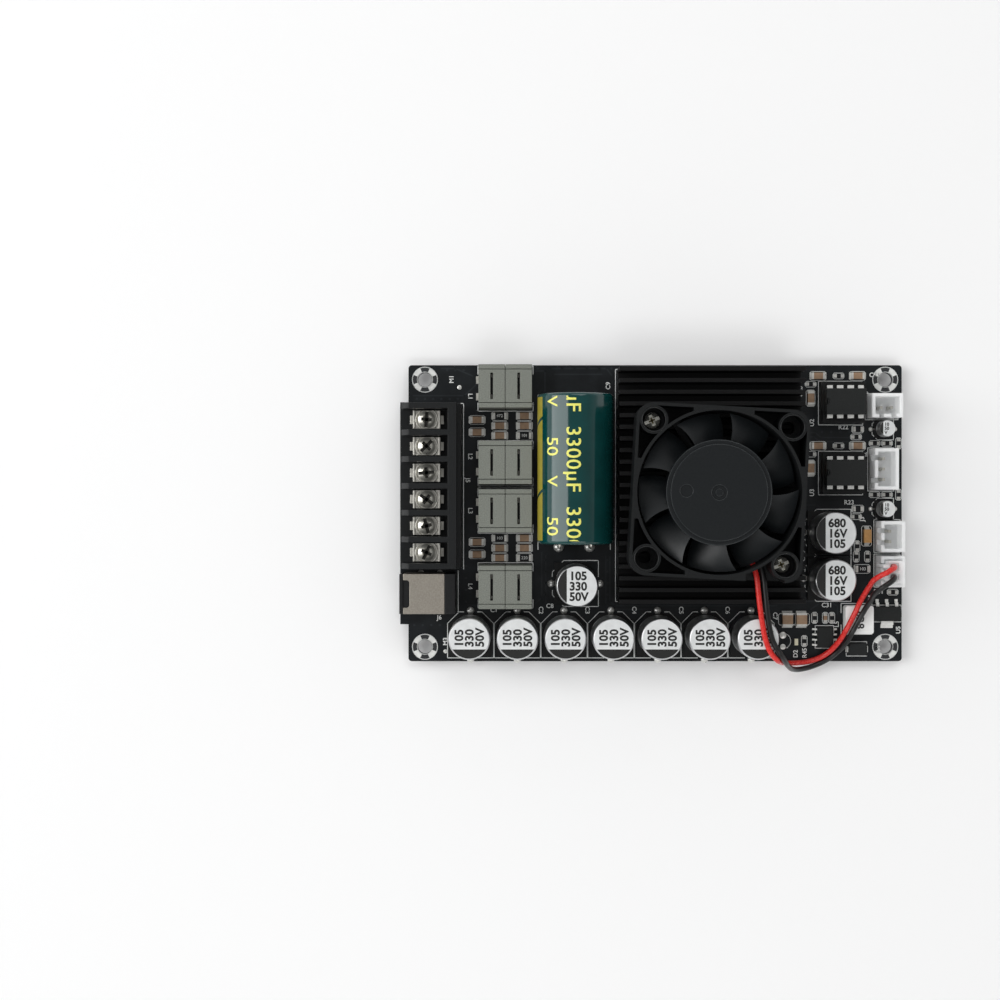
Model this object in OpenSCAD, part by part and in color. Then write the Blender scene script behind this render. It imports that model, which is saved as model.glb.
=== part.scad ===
// Audio amplifier board: a black circuit board with a six-way screw terminal, a power jack,
// output inductors, capacitors, a finned heatsink with a fan, and plug-in preamplifier parts.
// Millimetres. Origin: middle of the four mounting holes, on the underside of the board. +Z is up.

/* [Circuit board] */
// Thickness of the board
pcb_t = 1.6; // [1:0.1:2.4]
// Corner radius of the board
corner_r = 0.8; // [0.4:0.1:2]
// Width of the tab that carries the screw terminal past the left edge
tab_w = 2; // [1:0.1:4]
// Diameter of a mounting hole
hole_d = 3.4; // [2.6:0.1:4]
// Diameter of the plated ring around a mounting hole
pad_d = 6.3; // [5:0.1:8]
// Distance of the mounting holes from the left and right edges
hole_inset_x = 4; // [3.5:0.1:6]
// Distance of the mounting holes from the front and rear edges
hole_inset_y = 3.5; // [3.3:0.1:6]
// Gap between the tall parts and the front and rear edges
edge_gap = 1.25; // [0.5:0.05:3]
// Length of the trimmed pin ends below the board
pin_tail = 1.8; // [1.7:0.1:3]
// Clearance around a pin in its hole
pin_clear = 0.15; // [0.05:0.05:0.3]

/* [Screw terminal] */
// Spacing of the terminal's ways
terminal_pitch = 6.35; // [5.8:0.05:8]
// Thickness of the walls between the ways
terminal_wall = 1.35; // [1:0.05:2]
// Depth of the housing, front to back
terminal_d = 14.7; // [14:0.1:18]
// Height of the housing
terminal_h = 12; // [11:0.1:16]
// Height of the housing's floor
terminal_floor = 5; // [4.2:0.1:6]
// Thickness of the ridge at the back
ridge_w = 3; // [2:0.1:4]
// Reach of the housing past the left edge of the board
terminal_overhang = 1.7; // [0.5:0.1:3]
// Distance from the front of the housing to the screws
terminal_screw_x = 6.5; // [5.6:0.1:7]
// Length of a contact plate
contact_len = 8.1; // [7.2:0.1:9]
// Thickness of a contact plate
contact_t = 0.8; // [0.5:0.1:1.2]
// Length of a clamp plate
clamp_len = 6.5; // [5.8:0.1:7]
// Thickness of a clamp plate
clamp_t = 0.7; // [0.5:0.1:1.2]
// Diameter of a terminal screw's head
screw_head_d = 4; // [3.6:0.1:4.3]
// Height of a terminal screw's head
screw_head_h = 1.9; // [1.4:0.1:2.4]
// Diameter of a terminal screw's shank
screw_d = 2.5; // [2:0.1:2.9]
// Length of a terminal screw's shank
screw_len = 5; // [3.5:0.1:5.3]

/* [Power jack] */
// Length of the jack along its bore
jack_len = 13.2; // [12:0.1:16]
// Width of the jack
jack_w = 9.5; // [9:0.1:12]
// Height of the jack
jack_h = 11; // [10.8:0.1:13]
// Height of the bore's axis above the board
jack_axis_h = 6.4; // [6:0.1:6.6]
// Diameter of the bore
jack_bore = 6.4; // [5.6:0.1:6.8]
// Diameter of the centre pin
jack_pin_d = 2.1; // [1.3:0.1:2.5]
// Thickness of the sheet metal shield
shield_t = 0.4; // [0.2:0.1:0.8]
// Reach of the jack past the left edge of the board
jack_overhang = 1.5; // [0.5:0.1:3]

/* [Output inductors] */
// Width of an inductor
inductor_w = 12.7; // [10:0.1:15]
// Depth of an inductor
inductor_d = 10.3; // [9:0.1:13]
// Height of an inductor above the board
inductor_h = 10; // [6:0.1:14]
// Thickness of the core's end plates
core_plate = 1.1; // [0.8:0.1:1.6]
// Width of the winding slots
core_slot = 0.6; // [0.4:0.05:1]
// Thickness of the winding's feet
foot_t = 0.3; // [0.2:0.05:0.6]

/* [Bulk capacitor] */
// Diameter of the bulk capacitor
bulk_d = 18; // [14:0.5:22]
// Length of the bulk capacitor
bulk_len = 35.6; // [25:0.1:45]
// Spacing of its two leads
bulk_pitch = 7.5; // [5:0.5:10]
// Diameter of its leads
bulk_lead_d = 0.8; // [0.5:0.1:1]
// Thickness of its sleeve
sleeve_t = 0.25; // [0.15:0.05:0.5]

/* [Can capacitors] */
// Diameter of the rail and supply cans
can_d = 10; // [8:0.1:11.5]
// Height of the rail cans above the board
rail_can_h = 12.5; // [9:0.1:14]
// Height of the supply cans above the board
supply_can_h = 10.5; // [8:0.1:14]
// Diameter of the input cans
small_can_d = 4; // [3.5:0.1:5]
// Height of the input cans above the board
small_can_h = 5.4; // [4.5:0.1:7]
// Overhang of a base past its can on each side
base_lip = 0.15; // [0.05:0.05:0.4]
// Thickness of a base
base_h = 1.3; // [0.8:0.1:2]
// Gap between the bases in the row
row_gap = 1.08; // [0.4:0.01:3]

/* [Heatsink] */
// Height of the heatsink's top above the board
sink_h = 12.5; // [10:0.1:18]
// Thickness of the heatsink's base
sink_base_t = 4; // [2.5:0.1:6]
// Spacing of the fins
fin_pitch = 2.75; // [2.4:0.05:4]
// Thickness of a fin
fin_t = 1; // [0.7:0.05:1.6]
// Overhang of the heatsink past the fan on each side
sink_margin = 2; // [1:0.1:5]
// Height of the amplifier chip
amp_h = 1.2; // [0.8:0.1:2]
// Thickness of the thermal pad on the chip
thermal_pad_t = 0.3; // [0.2:0.1:1]

/* [Fan] */
// Side of the square fan frame
fan_size = 40; // [36:0.5:50]
// Thickness of the fan
fan_h = 10; // [9.5:0.1:15]
// Distance of the fan's corner holes from its sides
fan_hole_inset = 4; // [3.6:0.1:5]
// Wall of the fan's duct where it is thinnest
duct_wall = 1; // [0.7:0.1:2]
// Wall of the frame around its pockets and corner wells
fan_wall = 0.7; // [0.5:0.05:1]
// Turn of the fan as mounted, clockwise from above, in degrees
fan_twist = 3.1; // [0:0.1:5]
// Diameter of the rotor's hub
hub_d = 24.5; // [23:0.1:27]
// Gap between the blade tips and the duct
tip_gap = 0.6; // [0.3:0.05:1.5]
// Thickness of a blade
blade_t = 0.8; // [0.6:0.1:1.2]
// Height of the duct's floor ring and struts
strut_h = 1.2; // [1:0.1:1.5]
// Diameter of the motor shaft
shaft_d = 2; // [1.5:0.1:2.4]

/* [Plugs and sockets] */
// Spacing of the header pins
header_pitch = 2.5; // [2.3:0.01:3]
// Width of a header
header_w = 5.75; // [5.4:0.05:6.5]
// Height of a header
header_h = 7; // [6:0.1:9]
// Wall of a header
header_wall = 0.8; // [0.6:0.05:1]
// Reach of a header past its end pins
header_end = 2.45; // [2.2:0.05:3]
// Side of a square header pin
header_pin = 0.64; // [0.5:0.02:0.8]
// Height of the fan plug above the board
plug_h = 10.5; // [9.5:0.1:13]
// Spacing of the op-amp pins
opamp_pitch = 2.54; // [2.4:0.01:2.8]
// Spacing of the op-amp pin rows
opamp_row = 7.62; // [7:0.01:8.2]
// Height of an op-amp socket
socket_h = 4.2; // [3:0.1:6]

/* [Small parts] */
// Side of the square converter inductor
choke_w = 6.8; // [5:0.1:8]
// Height of the converter inductor
choke_h = 4; // [2.5:0.1:5]
// Spacing of the chips between the inductors
chip_pitch = 2.4; // [2.1:0.05:3]

/* [Hidden] */
$fn = 48;

// Counts that the list of nodes fixes
ways = 6;
inductor_count = 4;
row_cans = 7;
fin_count = 21;
blade_count = 9;

// Clearances shared by neighbouring pieces
fit_gap = 0.05;
run_gap = 0.1;
wire_gap = 0.3;
hair = 0.01;

// Sizes that follow from the driving dimensions
terminal_len = ways * terminal_pitch + terminal_wall;
base_w = can_d + 2 * base_lip;
small_base_w = small_can_d + 2 * base_lip;
sink_w = fan_size + 2 * sink_margin;
sink_d = (fin_count - 1) * fin_pitch + fin_t;
fan_bore = fan_size - 2 * duct_wall;
fan_hole = fan_size / 2 - fan_hole_inset;
header2_len = header_pitch + 2 * header_end;
header3_len = 2 * header_pitch + 2 * header_end;
socket_l = 4 * opamp_pitch;
socket_w = opamp_row + 2.4;
chip_zone = 3 * chip_pitch + 0.7;

// Small part sizes: length, width, height and end cap length
c0603 = [1.6, 0.85, 0.5, 0.3];
c0805 = [2, 1.25, 0.55, 0.4];
c1206 = [3.2, 1.6, 0.9, 0.5];
c1210 = [3.2, 2.5, 1.6, 0.5];
soic = [3.9, 4.9, 1.5, 6];
sot = [6.5, 3.5, 1.6, 7];
diode = [4.4, 2.9, 2.2, 5.4];
tantalum = [3.2, 1.8, 1.6];

// Gaps between the columns of parts, left to right
inductor_gap = 4.25;
bulk_gap = 1.35;
sink_gap = 1.3;
side_chips = 5.44;
column_gap = 1.2;
header_edge = 1.2;
row_start_gap = 2.8;
converter_gap = 1.3;
sot_edge = 0.45;
sot_gap = 0.65;
choke_gap = 1.4;
soic_gap = 1.45;
chip_gap = 0.9;

// Gaps between the rows of parts, rear to front
sink_row_gap = 3.2;
terminal_zone = 9.7;
jack_gap = 1.15;
jack_row_gap = 0.65;
inductor_edge = 0.5;
inductor_pair_gap = 1.2;
inductor_row_gap = 1.7;
bulk_zone = 7.6;
bulk_lead_zone = 4.75;
bulk_row_gap = 2.2;
socket_zone = 4.2;
socket_gap = 7;
supply_gap = 4.25;
supply_pair_gap = 0.9;
supply_choke_gap = 0.95;
choke_diode_gap = 2.45;
diode_edge = 1.55;
header_hole_gap = 0.55;
header_can_gap = 0.45;
can_signal_gap = 2.7;
signal_can_gap = 2.5;
can_aux_gap = 0.75;
aux_fan_gap = 1;
fan_sot_gap = 3.25;
sot_hole_gap = 1.45;
hole_zone_y = hole_inset_y + pad_d / 2;
hole_zone_x = hole_inset_x + pad_d / 2;

// Board width: the wider of the main chain of columns and the front row
left_chain = terminal_d - terminal_overhang + inductor_gap + inductor_w + bulk_gap + bulk_d
    + sink_gap + sink_w;
right_chain = side_chips + socket_l + column_gap + header2_len + header_edge;
converter_w = sot_edge + sot[0] + sot_gap + choke_w + choke_gap + soic[3] + soic_gap
    + 2 * c1210[1] + chip_gap;
front_chain = hole_zone_x + row_start_gap + row_cans * base_w + (row_cans - 1) * row_gap
    + converter_gap + converter_w;
board_w = max(left_chain + right_chain, front_chain);

// Board depth: the deepest of the columns
row_zone = base_w + edge_gap;
sink_column = edge_gap + sink_d + sink_row_gap + row_zone;
terminal_column = terminal_zone + terminal_len + jack_gap + jack_w + jack_row_gap + row_zone;
inductor_column = inductor_edge + inductor_count * inductor_d + 2 * chip_zone + inductor_pair_gap
    + inductor_row_gap + row_zone;
bulk_column = bulk_zone + bulk_len + bulk_lead_zone + base_w + bulk_row_gap + row_zone;
choke_zone = choke_w + choke_diode_gap + diode[1] + diode_edge;
socket_column = socket_zone + 2 * socket_w + socket_gap + supply_gap + 2 * base_w + supply_pair_gap
    + supply_choke_gap + choke_zone;
header_column = hole_zone_y + header_hole_gap + header_w + header_can_gap + small_base_w + can_signal_gap
    + header3_len + signal_can_gap + small_base_w + can_aux_gap + 2 * header2_len + aux_fan_gap
    + fan_sot_gap + sot[3] + sot_hole_gap + hole_zone_y;
board_d = max(sink_column, terminal_column, inductor_column, bulk_column, socket_column, header_column);

// Edges of the board
x_l = -board_w / 2;
x_r = board_w / 2;
y_f = -board_d / 2;
y_b = board_d / 2;
top = pcb_t;
hole_x = board_w / 2 - hole_inset_x;
hole_y = board_d / 2 - hole_inset_y;

// Screw terminal and power jack
terminal_x = x_l - terminal_overhang;
terminal_y = y_b - terminal_zone - terminal_len;
screw_x = terminal_x + terminal_screw_x;
bay_w = terminal_pitch - terminal_wall;
contact_w = bay_w - 0.6;
contact_ear = 2.1;
contact_leg = 0.8;
contact_leg_w = 1.2;
contact_z = top + terminal_floor;
clamp_z = contact_z + contact_t + wire_gap;
clamp_cup_d = contact_len - 2.6;
clamp_bar = 0.45;
clamp_rise = 0.6;
head_z = clamp_z + clamp_t + run_gap;
leg_x = screw_x + contact_len / 2 - contact_leg;
function way_y(i) = terminal_y + terminal_wall / 2 + (i - 0.5) * terminal_pitch;
jack_x = x_l - jack_overhang;
jack_y = terminal_y - jack_gap - jack_w / 2;
jack_z = top + jack_axis_h;
jack_flange = 0.9;
jack_rear = 2.5;
jack_bore_len = jack_len - 3.4;
shield_x0 = jack_x + jack_flange;
shield_x1 = jack_x + jack_len - jack_rear;
shield_legs = [shield_x0 + 3.6, shield_x1 - 1.6];
shield_leg_w = 1.2;
shield_side = jack_w / 2 - shield_t;
jack_tail_x = jack_x + jack_len - 0.9;
spring_tail_len = 7;
spring_tail_x = jack_x + spring_tail_len;
spring_w = 2;
spring_t = 0.4;
tab_y0 = jack_y - jack_w / 2 - 3.2;
tab_y1 = terminal_y + terminal_len + 0.7;

// Output inductors and the chips between them
inductor_x = terminal_x + terminal_d + inductor_gap + inductor_w / 2;
inductor_y1 = y_b - inductor_edge - inductor_d / 2;
inductor_y2 = inductor_y1 - inductor_d - chip_zone;
inductor_y3 = inductor_y2 - inductor_d - inductor_pair_gap;
inductor_y4 = inductor_y3 - inductor_d - chip_zone;
inductor_ys = [inductor_y1, inductor_y2, inductor_y3, inductor_y4];
core_seam = 0.12;
core_half = (inductor_w - core_seam) / 2;
core_slot_x = (inductor_w + core_seam) / 4;
core_main_d = inductor_d - 2 * (core_plate + core_seam);
coil_w = core_main_d - 2;
coil_foot = 1.8;
coil_reach = 0.8;
coil_side_gap = 0.1;
coil_drop = 3;
function foot_len(s) = core_half / 2 + (s < 0 ? coil_reach : -coil_side_gap);

// Bulk capacitor, lying along Y
bulk_x = terminal_x + terminal_d + inductor_gap + inductor_w + bulk_gap + bulk_d / 2;
bulk_y1 = y_b - bulk_zone;
bulk_y0 = bulk_y1 - bulk_len;
bulk_z = top + bulk_d / 2 + fit_gap;
bulk_can_r = bulk_d / 2 - sleeve_t - fit_gap;
bulk_fold = 2.2;
bulk_bead_y = 4.2;
bulk_bead_r = 0.8;
bulk_seal_t = 2;
bulk_bend = 0.95;

// Can capacitors: the front row, one beside the bulk capacitor, two supply cans, two input cans
row_x = x_l + hole_zone_x + row_start_gap + base_w / 2;
row_y = y_f + edge_gap + base_w / 2;
rail_cans = concat(
    [for (i = [0:row_cans - 1]) [row_x + i * (base_w + row_gap), row_y, 0]],
    [[bulk_x + 0.3, bulk_y0 - bulk_lead_zone - base_w / 2, -90]]);

// Heatsink, chip and fan
sink_x = terminal_x + terminal_d + inductor_gap + inductor_w + bulk_gap + bulk_d + sink_gap + sink_w / 2;
sink_y = y_b - edge_gap - sink_d / 2;
sink_z = top + amp_h + thermal_pad_t;
sink_screw_x = 15;
sink_screw_d = 2.5;
sink_screw_depth = 3;
sink_screw_head = 5;
sink_screw_head_h = 1.5;
amp_w = 6.1;
amp_l = 14;
fan_x = sink_x + 0.47;
fan_y = sink_y - 1.8;
fan_z = top + sink_h;
fan_well_floor = 3;
fan_screw_d = 2.4;
fan_screw_head = 3.7;
fan_screw_head_h = 1.7;
fan_screw_len = fan_well_floor + 5;
fan_screw_at = [[-fan_hole, fan_hole], [fan_hole, -fan_hole]];
fan_boss_r = fan_hole_inset - fan_wall;
fan_ring_r = fan_bore / 2 + fan_wall;
pocket_floor = 1.2;
pocket_end = 7;
exit_angle = -57.4;
exit_w = 4.2;
exit_floor = 0.7;
anchor_len = 1;
motor_r = hub_d / 2;
tube_r = shaft_d / 2 + 2.2;
bearing_r = shaft_d / 2 + 1.25;
rotor_z0 = 2.8;
rotor_z1 = fan_h - 0.4;
hub_wall = 1;
hub_top = 1.2;
hub_step = 1;
magnet_r = hub_d / 2 - hub_wall - fit_gap;
magnet_t = 1.3;
magnet_z1 = rotor_z1 - hub_top - 0.5;
stator_r = magnet_r - magnet_t - 0.5;
stator_z0 = 3.6;
stator_t = 2.2;
tube_h = stator_z0 + stator_t + 0.2;
blade_r0 = hub_d / 2 - 0.4;
blade_r1 = fan_bore / 2 - tip_gap;
blade_z0 = rotor_z0 + 0.1;
blade_z1 = rotor_z1 - 0.4;
blade_tip_angle = 5.3;
blade_sweep = 5;
blade_chord = 34;

// Plug-in preamplifier parts at the right
header_x = x_r - header_edge - header2_len / 2;
header_y = y_b - hole_zone_y - header_hole_gap - header_w / 2;
input_can_x = x_r - 4.6;
input_can_y1 = header_y - header_w / 2 - header_can_gap - small_base_w / 2;
signal_x = x_r - 2.2 - header_w / 2;
signal_y = input_can_y1 - small_base_w / 2 - can_signal_gap - header3_len / 2;
input_can_y2 = signal_y - header3_len / 2 - signal_can_gap - small_base_w / 2;
aux_x = x_r - 0.7 - header_w / 2;
aux_y = input_can_y2 - small_base_w / 2 - can_aux_gap - header2_len / 2;
fan_plug_y = aux_y - header2_len - aux_fan_gap;
headers = [[header_x, header_y, 0, 2], [signal_x, signal_y, -90, 3],
    [aux_x, aux_y, -90, 2], [aux_x, fan_plug_y, -90, 2]];
header_floor = 1.4;
header_slot = 1.2;
header_pin_h = 5.6;
pin_offset = 0.5;
socket_x = x_r - header_edge - header2_len - column_gap - socket_l / 2;
socket_y1 = y_b - socket_zone - socket_w / 2;
socket_y2 = socket_y1 - socket_w - socket_gap;
socket_ys = [socket_y1, socket_y2];
opamp_l = socket_l - 0.6;
opamp_w = opamp_row - 1.4;
opamp_h = 3.3;
opamp_z = top + socket_h + 0.5;
supply_x = socket_x - 3.05;
supply_y1 = socket_y2 - socket_w / 2 - supply_gap - base_w / 2;
supply_cans = [[supply_x, supply_y1, -90], [supply_x, supply_y1 - base_w - supply_pair_gap, -90]];
input_cans = [[input_can_x, input_can_y1, -90], [input_can_x, input_can_y2, -90]];

// Step-down converter at the front right
sot_x = x_r - sot_edge - sot[0] / 2;
sot_y = y_f + hole_zone_y + sot_hole_gap + sot[3] / 2;
choke_x = sot_x - sot[0] / 2 - sot_gap - choke_w / 2;
choke_y = y_f + diode_edge + diode[1] + choke_diode_gap + choke_w / 2;
diode_y = y_f + diode_edge + diode[1] / 2;
soic_x = choke_x - choke_w / 2 - choke_gap - soic[3] / 2;
soic_y = y_f + 3.45 + soic[1] / 2;
input_chip_x = soic_x - soic[3] / 2 - soic_gap - c1210[1] / 2;
tantalum_x = aux_x - header_w / 2 - 2.1;

// Chips: place, turn and size
function chip(x, y, turn, size) = [x, y, turn, size];
chip_zones = [(inductor_y1 + inductor_y2) / 2, (inductor_y3 + inductor_y4) / 2];
filter_x1 = inductor_x - 1.4;
filter_step = 6;
filter_back = 5.5;
filter_x2 = filter_x1 + filter_step;
filter_x3 = filter_x1 - filter_back;
input_chip_back = [6.1, 6.5];
input_chip_drop = 1.9;
aux_chip_drop = 8;
capacitors = concat(
    [for (y = chip_zones, i = [0, -1]) chip(filter_x1, y + i * chip_pitch, 0, c1206)],
    [for (y = chip_zones, i = [1, 0]) chip(filter_x2, y + i * chip_pitch, 0, c1206)],
    [for (y = chip_zones, i = [0.6, -0.65]) chip(filter_x3, y + i * chip_pitch, 0, c1206)],
    [for (y = socket_ys, x = [-5.5, 4.1]) chip(socket_x + x, y + socket_w / 2 + 1.6, 0, c1206)],
    [for (y = socket_ys) chip(socket_x - socket_l / 2 - 2.2, y + 1.2, 90, c1206)],
    [for (i = [0, 1]) chip(input_chip_x - i * (c1210[1] + chip_gap), soic_y + 4.3, 90, c1210)],
    [chip(soic_x + 0.2, soic_y + soic[1] / 2 + 2.2, 90, c0603)]);
resistors = concat(
    [for (y = chip_zones) chip(filter_x1, y + chip_pitch, 0, c1206)],
    [for (y = chip_zones) chip(filter_x2, y - chip_pitch, 0, c1206)],
    [for (y = socket_ys) chip(socket_x - 0.5, y + socket_w / 2 + 1.6, 0, c0603)],
    [for (y = socket_ys) chip(socket_x - socket_l / 2 - 2.2, y + 4.6, 0, c0603)],
    [for (c = input_cans) chip(c[0] - input_chip_back[0], c[1], 0, c0805)],
    [for (c = input_cans) chip(c[0] - input_chip_back[1], c[1] - input_chip_drop, 0, c0603)],
    [for (x = [-2, 1]) chip(input_can_x + x, input_can_y1 - small_base_w / 2 - 1.3, 0, c0603)],
    [for (x = [-2, 1]) chip(input_can_x + x, input_can_y2 + small_base_w / 2 + 1.3, 0, c0603)],
    [chip(input_can_x + 3.8, input_can_y1 - small_base_w / 2 - 1.3, 90, c0603)],
    [chip(input_can_x + 3.8, input_can_y2 + small_base_w / 2 + 1.3, 90, c0603)],
    [chip(tantalum_x - 2.3, aux_y - 2.5, 90, c0603)],
    [for (x = [-2.5, 0.2]) chip(tantalum_x + x, aux_y - 5, 90, c0603)],
    [chip(tantalum_x - 1.1, aux_y - aux_chip_drop, 0, c1206)],
    [chip(sot_x + 1.5, sot_y + sot[3] / 2 + 1.7, 0, c0603)],
    [for (x = [-2.4, 1.8]) chip(soic_x + x, soic_y + soic[1] / 2 + 2.2, 90, c0603)],
    [chip(soic_x - soic[3] / 2 - 1.9, soic_y - 1, 90, c0603)]);
led_x = soic_x - soic[3] / 2 - 3.9;
led_y = soic_y - 1.2;

// Every pin that passes through the board: place and pin diameter
function header_pins(h) = [for (i = [0:h[3] - 1])
    let (u = (i - (h[3] - 1) / 2) * header_pitch, v = -pin_offset)
    [h[0] + u * cos(h[2]) - v * sin(h[2]), h[1] + u * sin(h[2]) + v * cos(h[2])]];
socket_pins = [for (y = socket_ys, i = [-1.5:1.5], s = [-1, 1])
    [socket_x + i * opamp_pitch, y + s * opamp_row / 2]];
bulk_leads = [for (s = [-1, 1]) [bulk_x + s * bulk_pitch / 2, bulk_y0 - bulk_bend]];
contact_hole_d = norm([contact_leg, contact_leg_w]);
shield_hole_d = norm([shield_t, shield_leg_w]);
spring_hole_d = norm([spring_t, spring_w / 2]);
header_hole_d = header_pin * sqrt(2);
socket_pin_d = 0.5;
jack_tail_d = 1;
pin_holes = concat(
    [for (i = [1:ways]) [leg_x, way_y(i), contact_hole_d]],
    [for (x = shield_legs, s = [-1, 1]) [x, jack_y + s * (shield_side + shield_t / 2), shield_hole_d]],
    [[jack_tail_x, jack_y, jack_tail_d], [spring_tail_x, jack_y, spring_hole_d]],
    [for (p = bulk_leads) [p[0], p[1], bulk_lead_d]],
    [for (h = headers, p = header_pins(h)) [p[0], p[1], header_hole_d]],
    [for (p = socket_pins) [p[0], p[1], socket_pin_d]],
    [for (s = [-1, 1]) [sink_x + s * sink_screw_x, sink_y, sink_screw_d]]);

// Fan wires: points along each wire's middle line
wire_d = 1.3;
red_route = [
    [19.2, -6.5, 15.5], [20.7, -9.5, 15.5], [22, -12.2, 15.5], [22.8, -15, 15.5], [23.2, -18.5, 15.4],
    [23.6, -22, 15.3], [24.2, -26, 15.1], [25.2, -30.5, 15], [26.3, -32.9, 15], [27.5, -34.3, 14.6],
    [28.9, -35.2, 11.6], [31, -35.9, 7.2], [34.2, -36.2, 3.8], [37.7, -35.8, 2.8], [41.2, -34.2, 3.1],
    [43.9, -31.2, 4.8], [45.5, -28, 6.7], [47.2, -24.6, 7.1], [48.4, -21.6, 8], [49.3, -19.4, 9.3],
    [50.2, -17.4, 10.9], [50.9, -15.7, 13.1], [52.3, -14.5, 14.8], [53.5, -13.9, 15], [54.7, -13.2, 14.6],
    [55.6, -12.8, 13.6], [55.9, -12.6, 12.3], [55.9, -12.6, 10.6]];
black_route = [
    [20.6, -5.9, 15.5], [22, -8.8, 15.5], [23.4, -11.6, 15.5], [24.3, -14.5, 15.5], [24.8, -18.5, 15.4],
    [25.2, -22.5, 15.3], [25.8, -26.5, 15.1], [26.8, -30.3, 15], [28.1, -32.6, 15.1], [29.6, -34.6, 13.6],
    [31, -36.3, 10.2], [33, -37.5, 6.4], [35.8, -37.6, 3.8], [38.7, -36.9, 2.7], [41.5, -35.6, 2.6],
    [44, -33.6, 3.4], [45.7, -31.3, 5.3], [46.9, -28.6, 6.9], [48.4, -25.7, 7.3], [49.7, -23, 8.2],
    [50.7, -20.8, 10], [51.2, -18.9, 12.7], [52.4, -17.5, 14.8], [53.7, -16.6, 15], [54.8, -15.9, 14.6],
    [55.6, -15.3, 13.6], [55.9, -15.1, 12.3], [55.9, -15.1, 10.6]];

// Helpers
module at(p) translate([p[0], p[1], 0]) children();

module block(size) translate([-size[0] / 2, -size[1] / 2, 0]) cube(size);

module rounded_rect(w, d, r) {
    square([w - 2 * r, d], center = true);
    square([w, d - 2 * r], center = true);
    for (sx = [-1, 1], sy = [-1, 1])
        translate([sx * (w / 2 - r), sy * (d / 2 - r)])
            circle(r);
}

// Sideways extrusion of an X-Z outline, from y0 to y1
module upright(y0, y1)
    translate([0, y1, 0])
        rotate([90, 0, 0])
            linear_extrude(y1 - y0)
                children();

// Round bar along +X
module bar_x(d, len) rotate([0, 90, 0]) cylinder(d = d, h = len);

// Revolved profile laid along +Y from the bulk capacitor's front end
module bulk_axis()
    translate([bulk_x, bulk_y0, bulk_z])
        rotate([-90, 0, 0])
            children();

module fan_axis()
    translate([fan_x, fan_y, fan_z])
        rotate([0, 0, -fan_twist])
            children();

// Circuit board
module circuit_board()
    color("#1c1e22")
        linear_extrude(pcb_t)
            difference() {
                union() {
                    rounded_rect(board_w, board_d, corner_r);
                    translate([x_l - tab_w, tab_y0])
                        square([tab_w + corner_r, tab_y1 - tab_y0]);
                }
                for (sx = [-1, 1], sy = [-1, 1])
                    translate([sx * hole_x, sy * hole_y])
                        circle(d = hole_d);
                for (p = pin_holes)
                    at(p)
                        circle(d = p[2] + 2 * pin_clear);
            }

// Screw terminal
wall_front = 0.6;
wall_slope = 1.8;
wall_drop = 2.6;
back_foot = 0.9;
back_foot_drop = 3;
screw_well_floor = 1;

module terminal_wall_profile()
    polygon([[wall_front, 0], [terminal_d - back_foot, 0], [terminal_d - back_foot, terminal_h],
        [wall_front + wall_slope, terminal_h], [wall_front, terminal_h - wall_drop]]);

module terminal_base_profile()
    polygon([[0, 0], [terminal_d, 0], [terminal_d, terminal_h - back_foot_drop],
        [terminal_d - back_foot, terminal_h - back_foot_drop], [terminal_d - back_foot, terminal_h],
        [terminal_d - ridge_w, terminal_h], [terminal_d - ridge_w, terminal_floor], [0, terminal_floor]]);

module terminal_housing()
    color("#202224")
        difference() {
            translate([terminal_x, terminal_y, top]) {
                upright(0, terminal_len)
                    terminal_base_profile();
                for (i = [0:ways])
                    upright(i * terminal_pitch, i * terminal_pitch + terminal_wall)
                        terminal_wall_profile();
            }
            for (i = [1:ways]) {
                translate([screw_x, way_y(i), top + screw_well_floor])
                    cylinder(d = screw_d + 0.7, h = terminal_floor);
                translate([leg_x, way_y(i), top - hair])
                    block([contact_leg + 0.2, contact_leg_w + 0.2, terminal_floor + 2 * hair]);
            }
        }

module terminal_contacts()
    color("#c9c7bd")
        for (i = [1:ways])
            translate([screw_x, way_y(i), contact_z]) {
                difference() {
                    union() {
                        block([contact_len, contact_ear, contact_t]);
                        block([clamp_len, contact_w, contact_t]);
                    }
                    translate([0, 0, -hair])
                        cylinder(d = screw_d + 0.6, h = contact_t + 2 * hair);
                }
                translate([leg_x - screw_x, 0, -terminal_floor - pcb_t - pin_tail])
                    block([contact_leg, contact_leg_w, terminal_floor + pcb_t + pin_tail + contact_t / 2]);
            }

cup_gap = 0.45;

module terminal_clamp(i)
    color("#d6d5cd")
        translate([screw_x, way_y(i), clamp_z])
            difference() {
                union() {
                    block([clamp_len, contact_w, clamp_t]);
                    for (s = [-1, 1])
                        translate([s * (clamp_len - clamp_bar) / 2, 0, 0])
                            block([clamp_bar, contact_w, clamp_t + clamp_rise]);
                    intersection() {
                        cylinder(d = clamp_cup_d, h = clamp_t + clamp_rise);
                        block([clamp_len, contact_w, clamp_t + clamp_rise]);
                    }
                }
                translate([0, 0, clamp_t])
                    cylinder(d = screw_head_d + 2 * cup_gap, h = clamp_rise + hair);
                translate([0, 0, -hair])
                    cylinder(d = screw_d + 0.6, h = clamp_t + 2 * hair);
            }

head_dome = 0.7;
drive_w = 0.8;
drive_flare = 2.2;
drive_depth = 1.1;
drive_len = 2.6;
drive_turn = 25;
screw_turn_step = 40;

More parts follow.
